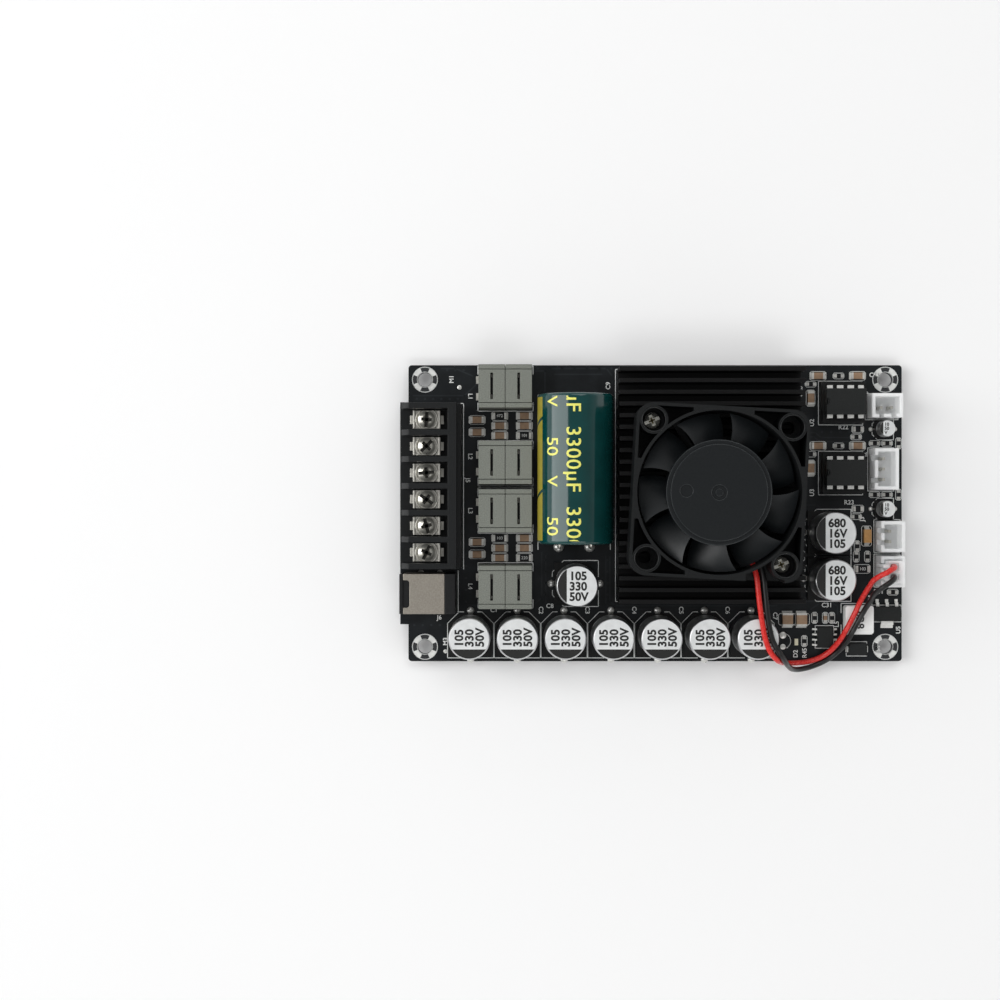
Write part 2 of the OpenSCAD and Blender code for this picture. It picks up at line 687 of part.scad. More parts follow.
// Domed pan head with a slot right across and a flared cross
module pan_head(d, h) {
    dome_r = (d * d / 4 + head_dome * head_dome) / (2 * head_dome);
    difference() {
        rotate_extrude()
            intersection() {
                square([d / 2, h]);
                translate([0, h - dome_r])
                    circle(dome_r);
            }
        translate([0, 0, h - drive_depth])
            rotate([0, 0, drive_turn]) {
                block([d + 1, drive_w, drive_depth + hair]);
                block([drive_w, drive_len, drive_depth + hair]);
                cylinder(d1 = drive_w, d2 = drive_flare, h = drive_depth + hair);
            }
    }
}

module terminal_screw(i)
    color("#e2e0d8")
        translate([screw_x, way_y(i), head_z]) {
            rotate([0, 0, i * screw_turn_step])
                pan_head(screw_head_d, screw_head_h);
            translate([0, 0, -screw_len])
                cylinder(d = screw_d, h = screw_len + hair);
        }

// Power jack
jack_body_w = jack_w - 2 * (shield_t + fit_gap);
jack_body_h = jack_h - shield_t - fit_gap;
spring_z = jack_z - jack_bore / 2 - 0.75;
notch_w = 6.5;
notch_len = 1.5;

module jack_housing()
    color("#17181a")
        difference() {
            union() {
                translate([jack_x, jack_y - jack_w / 2, top])
                    cube([jack_flange - fit_gap, jack_w, jack_h]);
                translate([jack_x, jack_y - jack_body_w / 2, top])
                    cube([jack_len, jack_body_w, jack_body_h]);
                translate([shield_x1 + fit_gap, jack_y - jack_w / 2, top])
                    cube([jack_rear - fit_gap, jack_w, jack_h]);
            }
            translate([jack_x - hair, jack_y, jack_z])
                bar_x(jack_bore, jack_bore_len);
            translate([jack_x, jack_y, jack_z])
                bar_x(jack_pin_d + 0.1, jack_len - 0.4);
            translate([jack_x + 2, jack_y - spring_w / 2 - 0.2, spring_z - 0.1])
                cube([jack_bore_len - 2.5, spring_w + 0.4, jack_bore / 2]);
            translate([spring_tail_x, jack_y, top - hair])
                block([spring_t + 0.3, spring_w / 2 + 0.3, spring_z - top]);
            translate([jack_tail_x, jack_y, top - hair])
                cylinder(d = jack_tail_d + 0.1, h = jack_z - top);
        }

module jack_shield()
    color("#b9b4a8") {
        difference() {
            translate([shield_x0, jack_y - jack_w / 2, top + 0.6])
                cube([shield_x1 - shield_x0, jack_w, jack_h - 0.6]);
            translate([shield_x0 - hair, jack_y - shield_side, top])
                cube([shield_x1 - shield_x0 + 2 * hair, 2 * shield_side, jack_h - shield_t]);
            translate([shield_x0, jack_y, top + jack_h - 2 * shield_t])
                linear_extrude(3 * shield_t)
                    rounded_rect(2 * notch_len, notch_w, 0.7);
        }
        for (x = shield_legs, s = [-1, 1])
            translate([x, jack_y + s * (shield_side + shield_t / 2), -pin_tail])
                block([shield_leg_w, shield_t, pcb_t + pin_tail + 1]);
    }

module jack_pin()
    color("#d8d6cc") {
        translate([jack_x + 2, jack_y, jack_z]) {
            bar_x(jack_pin_d, jack_len - 2.4);
            sphere(d = jack_pin_d);
        }
        translate([jack_tail_x, jack_y, -pin_tail])
            cylinder(d = jack_tail_d, h = jack_z + pin_tail);
    }

module jack_spring()
    color("#cfc9b0") {
        translate([jack_x + 2.4, jack_y - spring_w / 2, spring_z])
            cube([jack_bore_len - 3.4, spring_w, spring_t]);
        translate([spring_tail_x, jack_y, -pin_tail])
            block([spring_t, spring_w / 2, spring_z + spring_t + pin_tail]);
    }

// Output inductors: two ferrite cores side by side, each with two end plates
module inductor_core(i)
    color("#878c84")
        translate([inductor_x, inductor_ys[i - 1], top + foot_t])
            for (s = [-1, 1])
                translate([s * core_slot_x, 0, 0]) {
                    difference() {
                        block([core_half, core_main_d, inductor_h - foot_t]);
                        translate([0, 0, -hair])
                            block([core_slot, coil_w + 0.4, inductor_h]);
                    }
                    for (e = [-1, 1])
                        translate([0, e * (inductor_d - core_plate) / 2, 0])
                            block([core_half, core_plate, inductor_h - foot_t]);
                }

// Flat windings that stand in the slots, with feet on the board
module inductor_coils()
    color("#b87b4a")
        for (y = inductor_ys, s = [-1, 1])
            translate([inductor_x + s * core_slot_x, y, top]) {
                block([core_slot - 2 * coil_side_gap, coil_w, inductor_h - coil_drop]);
                for (e = [-1, 1])
                    translate([s * foot_len(s) / 2, e * (coil_w - coil_foot) / 2, 0])
                        block([foot_len(s), coil_foot, foot_t - fit_gap]);
            }

// Bulk capacitor
vent_w = 0.4;
vent_depth = 0.15;
sleeve_round = 0.8;

// Half outline of a can with rounded ends, to be revolved
module rolled_outline(r, len, edge) {
    square([r - edge, len]);
    translate([0, edge])
        square([r, len - 2 * edge]);
    for (y = [edge, len - edge])
        translate([r - edge, y])
            circle(edge);
}

module bulk_capacitor_can()
    color("#b8bab8")
        bulk_axis()
            difference() {
                rotate_extrude()
                    difference() {
                        translate([0, sleeve_t + fit_gap])
                            rolled_outline(bulk_can_r, bulk_len - 2 * (sleeve_t + fit_gap),
                                sleeve_round - sleeve_t - fit_gap);
                        translate([bulk_can_r + bulk_bead_r / 2, bulk_bead_y])
                            circle(bulk_bead_r);
                        square([bulk_can_r - bulk_fold + fit_gap, bulk_seal_t + sleeve_t]);
                    }
                for (a = [0, 90])
                    translate([0, 0, bulk_len - sleeve_t - fit_gap - vent_depth])
                        rotate([0, 0, a + 45])
                            block([bulk_d / 2, vent_w, 1]);
            }

module bulk_capacitor_sleeve()
    color("#12413f")
        bulk_axis()
            rotate_extrude()
                difference() {
                    rolled_outline(bulk_d / 2, bulk_len, sleeve_round);
                    translate([0, sleeve_t])
                        rolled_outline(bulk_d / 2 - sleeve_t, bulk_len - 2 * sleeve_t, sleeve_round - sleeve_t);
                    translate([-hair, -hair])
                        square([bulk_can_r - bulk_fold, bulk_len + 1]);
                }

module bulk_capacitor_seal()
    color("#2a2624")
        bulk_axis()
            difference() {
                translate([0, 0, sleeve_t + fit_gap])
                    cylinder(r = bulk_can_r - bulk_fold, h = bulk_seal_t - 2 * fit_gap);
                for (s = [-1, 1])
                    translate([s * bulk_pitch / 2, 0, -hair])
                        cylinder(d = bulk_lead_d + 2 * fit_gap, h = 2 * bulk_seal_t);
            }

module bulk_capacitor_leads()
    color("#d9d8d2")
        for (s = [-1, 1])
            translate([bulk_x + s * bulk_pitch / 2, bulk_y0, 0]) {
                translate([0, 0, bulk_z])
                    rotate([-90, 0, 0])
                        cylinder(d = bulk_lead_d, h = bulk_seal_t);
                translate([0, 0, bulk_z - bulk_bend])
                    rotate([90, 0, -90])
                        rotate_extrude(angle = 90)
                            translate([bulk_bend, 0])
                                circle(d = bulk_lead_d);
                translate([0, -bulk_bend, -pin_tail])
                    cylinder(d = bulk_lead_d, h = bulk_z - bulk_bend + pin_tail);
            }

// Can capacitors
can_round = 0.8;
bead_r = 0.6;
foot_strip = 0.2;

module can(d, h) {
    r = d / 2;
    edge = min(can_round, r / 4);
    translate([0, 0, top + base_h])
        rotate_extrude()
            difference() {
                union() {
                    square([r - edge, h - base_h]);
                    square([r, h - base_h - edge]);
                    translate([r - edge, h - base_h - edge])
                        circle(edge);
                }
                translate([r + bead_r / 2, 2 * bead_r])
                    circle(bead_r);
            }
}

module rail_capacitors()
    color("#c9ceca")
        for (p = rail_cans)
            at(p)
                can(can_d, rail_can_h);

module supply_capacitors()
    color("#b9bebe")
        for (p = supply_cans)
            at(p)
                can(can_d, supply_can_h);

module input_capacitors()
    color("#b9bebe")
        for (p = input_cans)
            at(p)
                can(small_can_d, small_can_h);

// Square base with two cut corners on the positive side
module can_base(d) {
    w = d + 2 * base_lip;
    cut = d / 4;
    translate([0, 0, top + foot_strip])
        linear_extrude(base_h - foot_strip)
            polygon([[-w / 2, -w / 2], [w / 2, -w / 2], [w / 2, w / 2 - cut], [w / 2 - cut, w / 2],
                [cut - w / 2, w / 2], [-w / 2, w / 2 - cut]]);
}

module capacitor_bases()
    color("#1b1b1c") {
        for (p = concat(rail_cans, supply_cans))
            at(p)
                rotate([0, 0, p[2]])
                    can_base(can_d);
        for (p = input_cans)
            at(p)
                rotate([0, 0, p[2]])
                    can_base(small_can_d);
    }

// Two flat feet under a base, along its polarity line
module can_feet(d)
    for (s = [-1, 1])
        translate([0, s * (d + base_lip) * 0.35, top])
            block([d / 9, d * 0.4, foot_strip]);

module capacitor_feet()
    color("#d2d2cc") {
        for (p = concat(rail_cans, supply_cans))
            at(p)
                rotate([0, 0, p[2]])
                    can_feet(can_d);
        for (p = input_cans)
            at(p)
                rotate([0, 0, p[2]])
                    can_feet(small_can_d);
    }

// Heatsink, its chip and its screws
module heatsink()
    color("#131415")
        difference() {
            translate([sink_x, sink_y, 0]) {
                translate([0, 0, sink_z])
                    block([sink_w, sink_d, sink_base_t]);
                for (i = [0:fin_count - 1])
                    translate([0, (i - (fin_count - 1) / 2) * fin_pitch, sink_z])
                        block([sink_w, fin_t, top + sink_h - sink_z]);
            }
            for (s = [-1, 1])
                translate([sink_x + s * sink_screw_x, sink_y, sink_z - hair])
                    cylinder(d = sink_screw_d + 2 * run_gap, h = sink_screw_depth + 0.4);
            fan_axis()
                for (p = fan_screw_at)
                    at(p)
                        translate([0, 0, fan_well_floor - fan_screw_len - 0.3])
                            cylinder(d = fan_screw_d + 2 * run_gap, h = fan_screw_len);
        }

module thermal_pad()
    color("#9aa0a6")
        translate([sink_x, sink_y, top + amp_h])
            block([amp_w - 0.6, amp_l - 2, thermal_pad_t]);

module amplifier_chip()
    color("#222222")
        translate([sink_x, sink_y, top + run_gap])
            block([amp_w, amp_l, amp_h - run_gap]);

module heatsink_screws()
    color("#d0cfc8")
        for (s = [-1, 1])
            translate([sink_x + s * sink_screw_x, sink_y, 0]) {
                translate([0, 0, -sink_screw_head_h])
                    cylinder(d = sink_screw_head, h = sink_screw_head_h);
                translate([0, 0, -hair])
                    cylinder(d = sink_screw_d, h = sink_z + sink_screw_depth);
            }

// Fan
module fan_pockets()
    difference() {
        square(fan_size - 2 * fan_wall, center = true);
        circle(fan_ring_r);
        square([2 * pocket_end, fan_size], center = true);
        square([fan_size, 2 * pocket_end], center = true);
        for (sx = [-1, 1], sy = [-1, 1])
            translate([sx * fan_hole, sy * fan_hole]) {
                circle(fan_boss_r);
                translate([sx * fan_hole_inset / 2, sy * fan_hole_inset / 2])
                    square(fan_hole_inset, center = true);
            }
    }

strut_w = 1.6;

module fan_struts()
    for (a = [0:90:270])
        rotate([0, 0, a + exit_angle]) {
            w = a == 0 ? exit_w + 1 : strut_w;
            translate([motor_r - 1, -w / 2, 0])
                cube([fan_bore / 2 - motor_r + 1.3, w, strut_h]);
        }

module fan_frame()
    color("#1f2122")
        fan_axis()
            difference() {
                union() {
                    linear_extrude(fan_h)
                        difference() {
                            rounded_rect(fan_size, fan_size, fan_hole_inset);
                            circle(d = fan_bore);
                        }
                    fan_struts();
                    cylinder(r = motor_r, h = strut_h);
                    cylinder(r = tube_r, h = tube_h);
                    rotate([0, 0, exit_angle])
                        translate([motor_r - 1, -exit_w / 2, 0])
                            cube([1 + anchor_len, exit_w, rotor_z0 - 0.4]);
                }
                translate([0, 0, pocket_floor])
                    linear_extrude(fan_h)
                        fan_pockets();
                for (sx = [-1, 1], sy = [-1, 1])
                    translate([sx * fan_hole, sy * fan_hole, -hair]) {
                        cylinder(d = fan_screw_d + 0.5, h = fan_h);
                        translate([0, 0, fan_well_floor])
                            cylinder(r = fan_boss_r - 0.35, h = fan_h);
                    }
                translate([0, 0, 0.8])
                    cylinder(r = bearing_r + fit_gap, h = fan_h);
                rotate([0, 0, exit_angle])
                    translate([motor_r + anchor_len, -exit_w / 2, exit_floor])
                        cube([fan_size / 2, exit_w, wire_d + 0.4]);
                translate([exit_cut_x0, -fan_size / 2 - hair, pocket_floor])
                    cube([exit_cut_x1 - exit_cut_x0, fan_wall + 2 * hair, fan_h]);
            }

// The open side of the frame where the wires leave
exit_cut_x0 = pocket_end;
exit_cut_x1 = fan_hole;

// One blade: rings of four corners from root to tip, swept back and sloping down clockwise
blade_steps = 5;
blade_spans = 5;
function blade_angle(u, v) = blade_tip_angle - blade_sweep * (1 - u * u) - blade_chord * v;
function blade_drop(v) = blade_z1 - blade_t / 2 - (blade_z1 - blade_z0 - blade_t) * pow(v, 0.85);
function blade_point(u, v, side) =
    let (r = blade_r0 + (blade_r1 - blade_r0) * u, a = blade_angle(u, v))
    [r * cos(a), r * sin(a), blade_drop(v) + side * blade_t / 2];
blade_side = (blade_steps + 1) * (blade_spans + 1);
function blade_index(i, j, k) = k * blade_side + i * (blade_spans + 1) + j;
blade_points = [for (k = [0, 1], i = [0:blade_steps], j = [0:blade_spans])
    blade_point(i / blade_steps, j / blade_spans, 1 - 2 * k)];
function blade_quad(a, b, c, d) = [[a, c, b], [a, d, c]];
blade_faces = concat(
    [for (i = [0:blade_steps - 1], j = [0:blade_spans - 1], t = blade_quad(blade_index(i, j, 0),
        blade_index(i, j + 1, 0), blade_index(i + 1, j + 1, 0), blade_index(i + 1, j, 0))) t],
    [for (i = [0:blade_steps - 1], j = [0:blade_spans - 1], t = blade_quad(blade_index(i, j, 1),
        blade_index(i + 1, j, 1), blade_index(i + 1, j + 1, 1), blade_index(i, j + 1, 1))) t],
    [for (i = [0:blade_steps - 1], t = blade_quad(blade_index(i, 0, 0), blade_index(i + 1, 0, 0),
        blade_index(i + 1, 0, 1), blade_index(i, 0, 1))) t],
    [for (i = [0:blade_steps - 1], t = blade_quad(blade_index(i, blade_spans, 0),
        blade_index(i, blade_spans, 1), blade_index(i + 1, blade_spans, 1),
        blade_index(i + 1, blade_spans, 0))) t],
    [for (j = [0:blade_spans - 1], t = blade_quad(blade_index(0, j, 0), blade_index(0, j, 1),
        blade_index(0, j + 1, 1), blade_index(0, j + 1, 0))) t],
    [for (j = [0:blade_spans - 1], t = blade_quad(blade_index(blade_steps, j, 0),
        blade_index(blade_steps, j + 1, 0), blade_index(blade_steps, j + 1, 1),
        blade_index(blade_steps, j, 1))) t]);

hub_shoulder = 0.4;
hub_boss_r = 1.8;
hub_recess_r = 1.5;
hub_recess_x = -7.6;
hub_mark = 0.25;

module fan_rotor()
    color("#2a2d2f")
        fan_axis() {
            difference() {
                union() {
                    translate([0, 0, rotor_z0])
                        cylinder(d = hub_d, h = rotor_z1 - rotor_z0 - hub_shoulder);
                    translate([0, 0, rotor_z0])
                        cylinder(d = hub_d - 2 * hub_step, h = rotor_z1 - rotor_z0);
                }
                translate([0, 0, rotor_z0 - hair])
                    difference() {
                        cylinder(d = hub_d - 2 * hub_wall, h = rotor_z1 - rotor_z0 - hub_top);
                        translate([0, 0, tube_h + 0.4 - rotor_z0])
                            cylinder(r = tube_r - 0.4, h = fan_h);
                    }
                translate([0, 0, tube_h])
                    cylinder(d = shaft_d + 2 * fit_gap, h = rotor_z1 - tube_h - 0.5);
                translate([hub_recess_x, 0, rotor_z1 - hub_mark])
                    cylinder(r = hub_recess_r, h = 1);
                translate([0, 0, rotor_z1 - hub_mark])
                    difference() {
                        cylinder(r = hub_boss_r, h = 1);
                        cylinder(r = hub_boss_r - 0.9, h = 1);
                    }
            }
            for (i = [0:blade_count - 1])
                rotate([0, 0, i * 360 / blade_count])
                    polyhedron(blade_points, blade_faces);
        }

module fan_magnet()
    color("#4a4a4c")
        fan_axis()
            translate([0, 0, rotor_z0 + 0.2])
                difference() {
                    cylinder(r = magnet_r, h = magnet_z1 - rotor_z0);
                    translate([0, 0, -hair])
                        cylinder(r = magnet_r - magnet_t, h = fan_h);
                }

module fan_shaft()
    color("#dcdcd8")
        fan_axis()
            translate([0, 0, 1])
                cylinder(d = shaft_d, h = rotor_z1 - 0.6 - 1);

module fan_bearing()
    color("#b08d57")
        fan_axis()
            translate([0, 0, 0.9])
                difference() {
                    cylinder(r = bearing_r, h = tube_h - 1);
                    translate([0, 0, -hair])
                        cylinder(d = shaft_d + 2 * run_gap, h = tube_h);
                }

pole_w = 2.2;
pole_shoe = 1.2;
pole_span = 62;

// Four-pole core on the bearing tube
core_ring = 1.2;

module fan_stator()
    color("#8b8f93")
        fan_axis()
            translate([0, 0, stator_z0])
                linear_extrude(stator_t)
                    difference() {
                        union() {
                            circle(tube_r + core_ring);
                            for (a = [0:90:270])
                                rotate([0, 0, a]) {
                                    translate([0, -pole_w / 2])
                                        square([stator_r - pole_shoe / 2, pole_w]);
                                    intersection() {
                                        difference() {
                                            circle(stator_r);
                                            circle(stator_r - pole_shoe);
                                        }
                                        polygon([[0, 0], [2 * stator_r, -2 * stator_r * tan(pole_span / 2)],
                                            [2 * stator_r, 2 * stator_r * tan(pole_span / 2)]]);
                                    }
                                }
                        }
                        circle(tube_r + fit_gap);
                    }

coil_t = 0.5;
coil_gap = 0.3;

module fan_coils()
    color("#b5652b")
        fan_axis()
            for (a = [0:90:270])
                rotate([0, 0, a])
                    translate([(tube_r + core_ring + stator_r - pole_shoe) / 2, 0, stator_z0 - coil_t])
                        difference() {
                            block([stator_r - pole_shoe - tube_r - core_ring - 2 * coil_gap, pole_w + 2 * coil_t,
                                stator_t + 2 * coil_t]);
                            translate([0, 0, coil_t - fit_gap])
                                block([stator_r, pole_w + 2 * fit_gap, stator_t + 2 * fit_gap]);
                        }

module fan_screws()
    color("#d8d5c6")
        fan_axis()
            for (p = fan_screw_at)
                translate([p[0], p[1], fan_well_floor + fit_gap]) {
                    pan_head(fan_screw_head, fan_screw_head_h);
                    translate([0, 0, -fan_screw_len])
                        cylinder(d = fan_screw_d, h = fan_screw_len + hair);
                }

// Wires: an eight-sided tube swept along a route
wire_sides = 8;
function unit(v) = v / norm(v);
function tangents(p) = [for (i = [0:len(p) - 1]) unit(p[min(i + 1, len(p) - 1)] - p[max(i - 1, 0)])];
function carry(t, i, found) = i == len(t) ? found
    : carry(t, i + 1, concat(found, [unit(found[i - 1] - (found[i - 1] * t[i]) * t[i])]));
function wire_rings(p) =
    let (t = tangents(p), n = carry(t, 1, [unit(cross(t[0], [0, 0, 1]))]))
    [for (i = [0:len(p) - 1], k = [0:wire_sides - 1])
        let (a = 360 * k / wire_sides)
        p[i] + wire_d / 2 * (cos(a) * n[i] + sin(a) * cross(t[i], n[i]))];
function wire_faces(n) = concat(
    [[for (k = [wire_sides - 1:-1:0]) k]],
    [for (i = [0:n - 2], k = [0:wire_sides - 1])
        let (a = i * wire_sides + k, b = i * wire_sides + (k + 1) % wire_sides)
        [a, b, b + wire_sides, a + wire_sides]],
    [[for (k = [0:wire_sides - 1]) (n - 1) * wire_sides + k]]);

module wire(route) polyhedron(wire_rings(route), wire_faces(len(route)));

module fan_wire_red() color("#d62a24") wire(red_route);

module fan_wire_black() color("#141414") wire(black_route);

// Headers and the fan's plug
function header_len(h) = (h[3] - 1) * header_pitch + 2 * header_end;

module header_place(h)
    translate([h[0], h[1], top])
        rotate([0, 0, h[2]])
            children();

module header_housing(h) {
    len = header_len(h);
    difference() {
        block([len, header_w, header_h]);
        translate([0, 0, header_floor])
            block([len - 2 * header_wall, header_w - 2 * header_wall, header_h]);
        for (s = [-1, 1])
            translate([s * (len / 2 - header_end + 0.2), -header_w / 2, header_floor + 1])
                block([header_slot, 3 * header_wall, header_h]);
        for (i = [0:h[3] - 1])
            translate([(i - (h[3] - 1) / 2) * header_pitch, -pin_offset, -hair])
                block([header_pin + 0.1, header_pin + 0.1, header_h]);
    }
}

module header_housings()
    color("#eceeea")
        for (h = headers)
            header_place(h)
                header_housing(h);

module connector_pins()
    color("#cfccbc") {
        for (h = headers, p = header_pins(h))
            translate([p[0], p[1], -pin_tail])
                block([header_pin, header_pin, pcb_t + pin_tail + header_pin_h]);
        for (p = socket_pins)
            translate([p[0], p[1], -pin_tail])
                cylinder(d = socket_pin_d, h = pcb_t + pin_tail + 0.9);
    }

plug_gap = 0.2;
plug_wire_depth = 1.5;
plug_pocket = [1.9, 2.2];

module fan_plug()
    color("#f0f0ec")
        header_place(headers[3]) {
            difference() {
                union() {
                    translate([0, 0, header_floor + plug_gap])
                        block([header2_len - 2 * (header_wall + plug_gap),
                            header_w - 2 * (header_wall + plug_gap), plug_h - header_floor - plug_gap]);
                    for (s = [-1, 1])
                        translate([s * (header2_len / 2 - header_end + 0.2),
                            -header_w / 2 + header_wall / 2, header_floor + 1 + plug_gap])
                            block([header_slot - 2 * plug_gap, header_wall + 2 * plug_gap,
                                plug_h - header_floor - 1 - plug_gap]);
                }
                for (s = [-1, 1])
                    translate([s * header_pitch / 2, -pin_offset, 0]) {
                        block([header_pin + 0.4, header_pin + 0.4, header_pin_h + 0.4]);
                        translate([0, 0, plug_h - plug_wire_depth])
                            block([plug_pocket[0], plug_pocket[1], plug_wire_depth + hair]);
                    }
            }
        }

// Op-amps in their sockets
socket_window = opamp_row - 2.6;
lead_w = 0.5;
lead_t = 0.25;
lead_reach = 2.6;
opamp_notch = 0.8;

module opamp_sockets()
    color("#1a1b1c")
        for (y = socket_ys)
            translate([socket_x, y, top])
                difference() {
                    block([socket_l, socket_w, socket_h]);
                    translate([0, 0, -hair])
                        block([socket_l - 2.4, socket_window, socket_h + 2 * hair]);
                    for (i = [-1.5:1.5], s = [-1, 1])
                        translate([i * opamp_pitch, s * opamp_row / 2, -hair]) {
                            cylinder(d = socket_pin_d + 0.1, h = 1.2);
                            translate([0, 0, socket_h - lead_reach - 0.3])
                                block([lead_w + 0.3, lead_t + 0.4, lead_reach + 1]);
                        }
                }

module opamps()
    color("#26282a")
        for (y = socket_ys)
            translate([socket_x, y, opamp_z])
                difference() {
                    upright(-opamp_w / 2, opamp_w / 2)
                        polygon([[-opamp_l / 2, 0], [opamp_l / 2, 0], [opamp_l / 2, opamp_h],
                            [-opamp_l / 2, opamp_h]]);
                    translate([-opamp_l / 2, 0, opamp_h - 0.4])
                        cylinder(r = opamp_notch, h = 1);
                }

chip_lead_w = 0.42;
chip_lead_t = 0.2;
sot_lead_w = 0.75;
sot_pitch = 2.3;
sot_tab_w = 3;

module bent_lead(w, t, x0, x1, z0, z1)
    upright(-w / 2, w / 2)
        polygon([[x0, z1 - t], [(x0 + x1) / 2 - t / 2, z1 - t], [(x0 + x1) / 2 - t / 2, z0], [x1, z0],
            [x1, z0 + t], [(x0 + x1) / 2 + t / 2, z0 + t], [(x0 + x1) / 2 + t / 2, z1], [x0, z1]]);

shoulder_w = 1.5;
shoulder_end = opamp_l / 2 - 0.4;

// Wide upper part of a lead, cut short at the package's ends
module shoulder(x)
    translate([max(x - shoulder_w / 2, -shoulder_end), opamp_w / 2, 0])
        cube([min(x + shoulder_w / 2, shoulder_end) - max(x - shoulder_w / 2, -shoulder_end),
            (opamp_row + lead_t - opamp_w) / 2, lead_t]);

module chip_leads()
    color("#c6c6c0") {
        for (y = socket_ys, i = [-1.5:1.5], s = [-1, 1])
            translate([socket_x + i * opamp_pitch, y, opamp_z])
                rotate([0, 0, s * 90])
                    upright(-lead_w / 2, lead_w / 2)
                        polygon([[opamp_w / 2, opamp_h / 2], [opamp_row / 2 + lead_t / 2, opamp_h / 2],
                            [opamp_row / 2 + lead_t / 2, -0.5 - lead_reach],
                            [opamp_row / 2 - lead_t / 2, -0.5 - lead_reach],
                            [opamp_row / 2 - lead_t / 2, opamp_h / 2 - lead_t],
                            [opamp_w / 2, opamp_h / 2 - lead_t]]);
        for (y = socket_ys, i = [-1.5:1.5], s = [0, 180])
            translate([socket_x, y, opamp_z + opamp_h / 2 - lead_t])
                rotate([0, 0, s])
                    shoulder(i * opamp_pitch);
        for (i = [-1.5:1.5], s = [0, 180])
            translate([soic_x, soic_y, top])
                rotate([0, 0, s])
                    translate([0, i * 1.27, 0])
                        bent_lead(chip_lead_w, chip_lead_t, soic[0] / 2, soic[3] / 2, 0, 0.9);
        translate([sot_x, sot_y, top])
            rotate([0, 0, 90]) {
                for (i = [-1, 0, 1])
                    translate([0, i * sot_pitch, 0])
                        bent_lead(sot_lead_w, chip_lead_t, sot[1] / 2, sot[3] / 2, 0, 0.9);
                rotate([0, 0, 180])
                    bent_lead(sot_tab_w, chip_lead_t, sot[1] / 2, sot[3] / 2, 0, 0.9);
            }
        for (s = [0, 180])
            translate([choke_x, diode_y, top])
                rotate([0, 0, s])
                    bent_lead(diode[1] / 2, chip_lead_t, diode[0] / 2, diode[3] / 2, 0, 1.1);
        for (i = [-10.5:10.5], s = [0, 180])
            translate([sink_x, sink_y, top])
                rotate([0, 0, s])
                    translate([0, i * 0.6, 0])
                        bent_lead(0.3, 0.15, amp_w / 2, amp_w / 2 + 1, 0, 0.6);
    }

module chip_packages()
    color("#232527") {
        translate([soic_x, soic_y, top + run_gap])
            block([soic[0], soic[1], soic[2] - run_gap]);
        translate([sot_x, sot_y, top + fit_gap])
            block([sot[0], sot[1], sot[2]]);
        translate([choke_x, diode_y, top + fit_gap])
            block([diode[0], diode[1], diode[2]]);
    }

choke_round = 0.6;
choke_groove = 0.5;

// Square power choke: a round-cornered top over a foot plate
module converter_inductor()
    color("#e6e6e2")
        translate([choke_x, choke_y, top]) {
            linear_extrude(choke_groove)
                rounded_rect(choke_w - 0.4, choke_w - 0.4, choke_round);
            translate([0, 0, choke_groove])
                linear_extrude(choke_h - choke_groove)
                    rounded_rect(choke_w, choke_w, choke_round);
        }

// Chips
module chip_place(c)
    translate([c[0], c[1], top])
        rotate([0, 0, c[2]])
            children();

module chip_body(s) block([s[0] - 2 * s[3], s[1] - 0.06, s[2] - 0.03]);

module chip_capacitors()
    color("#96735a")
        for (c = capacitors)
            chip_place(c)
                chip_body(c[3]);

module chip_resistors()
    color("#1d1d1f")
        for (c = resistors)
            chip_place(c)
                chip_body(c[3]);

tantalum_tab = [1.2, 0.3, 0.9];

module chip_end_caps()
    color("#c9c8c2") {
        for (c = concat(capacitors, resistors), s = [-1, 1])
            chip_place(c)
                translate([s * (c[3][0] - c[3][3]) / 2, 0, 0])
                    block([c[3][3], c[3][1], c[3][2]]);
        for (s = [-1, 1])
            translate([tantalum_x, aux_y + s * (tantalum[0] + tantalum_tab[1]) / 2, top])
                block(tantalum_tab);
    }

module tantalum_capacitor()
    color("#be8f4e")
        translate([tantalum_x, aux_y, top])
            block([tantalum[1], tantalum[0], tantalum[2]]);

module status_led()
    color("#e9e6d4")
        translate([led_x, led_y, top])
            block([c0603[1], c0603[0], c0603[2]]);

circuit_board();
terminal_housing();
terminal_contacts();
terminal_screw(1);  // terminal_screw_1
terminal_screw(2);  // terminal_screw_2
terminal_screw(3);  // terminal_screw_3
terminal_screw(4);  // terminal_screw_4
terminal_screw(5);  // terminal_screw_5
terminal_screw(6);  // terminal_screw_6
terminal_clamp(1);  // terminal_clamp_1
terminal_clamp(2);  // terminal_clamp_2
terminal_clamp(3);  // terminal_clamp_3
terminal_clamp(4);  // terminal_clamp_4
terminal_clamp(5);  // terminal_clamp_5
terminal_clamp(6);  // terminal_clamp_6
jack_housing();
jack_shield();
jack_pin();
jack_spring();
inductor_core(1);  // inductor_core_1
inductor_core(2);  // inductor_core_2
inductor_core(3);  // inductor_core_3
inductor_core(4);  // inductor_core_4
inductor_coils();
bulk_capacitor_can();
bulk_capacitor_sleeve();
bulk_capacitor_seal();
bulk_capacitor_leads();
rail_capacitors();
supply_capacitors();
input_capacitors();
capacitor_bases();
capacitor_feet();
heatsink();
thermal_pad();
amplifier_chip();
heatsink_screws();
fan_frame();
fan_rotor();
fan_magnet();
fan_shaft();
fan_bearing();
fan_stator();
fan_coils();
fan_screws();
fan_wire_red();
fan_wire_black();
fan_plug();
header_housings();
connector_pins();
opamp_sockets();
opamps();
chip_packages();
chip_leads();
converter_inductor();
chip_capacitors();
chip_resistors();
chip_end_caps();
tantalum_capacitor();
status_led();
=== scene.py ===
import itertools
import math

import bpy
import numpy as np
from mathutils import Matrix, Vector


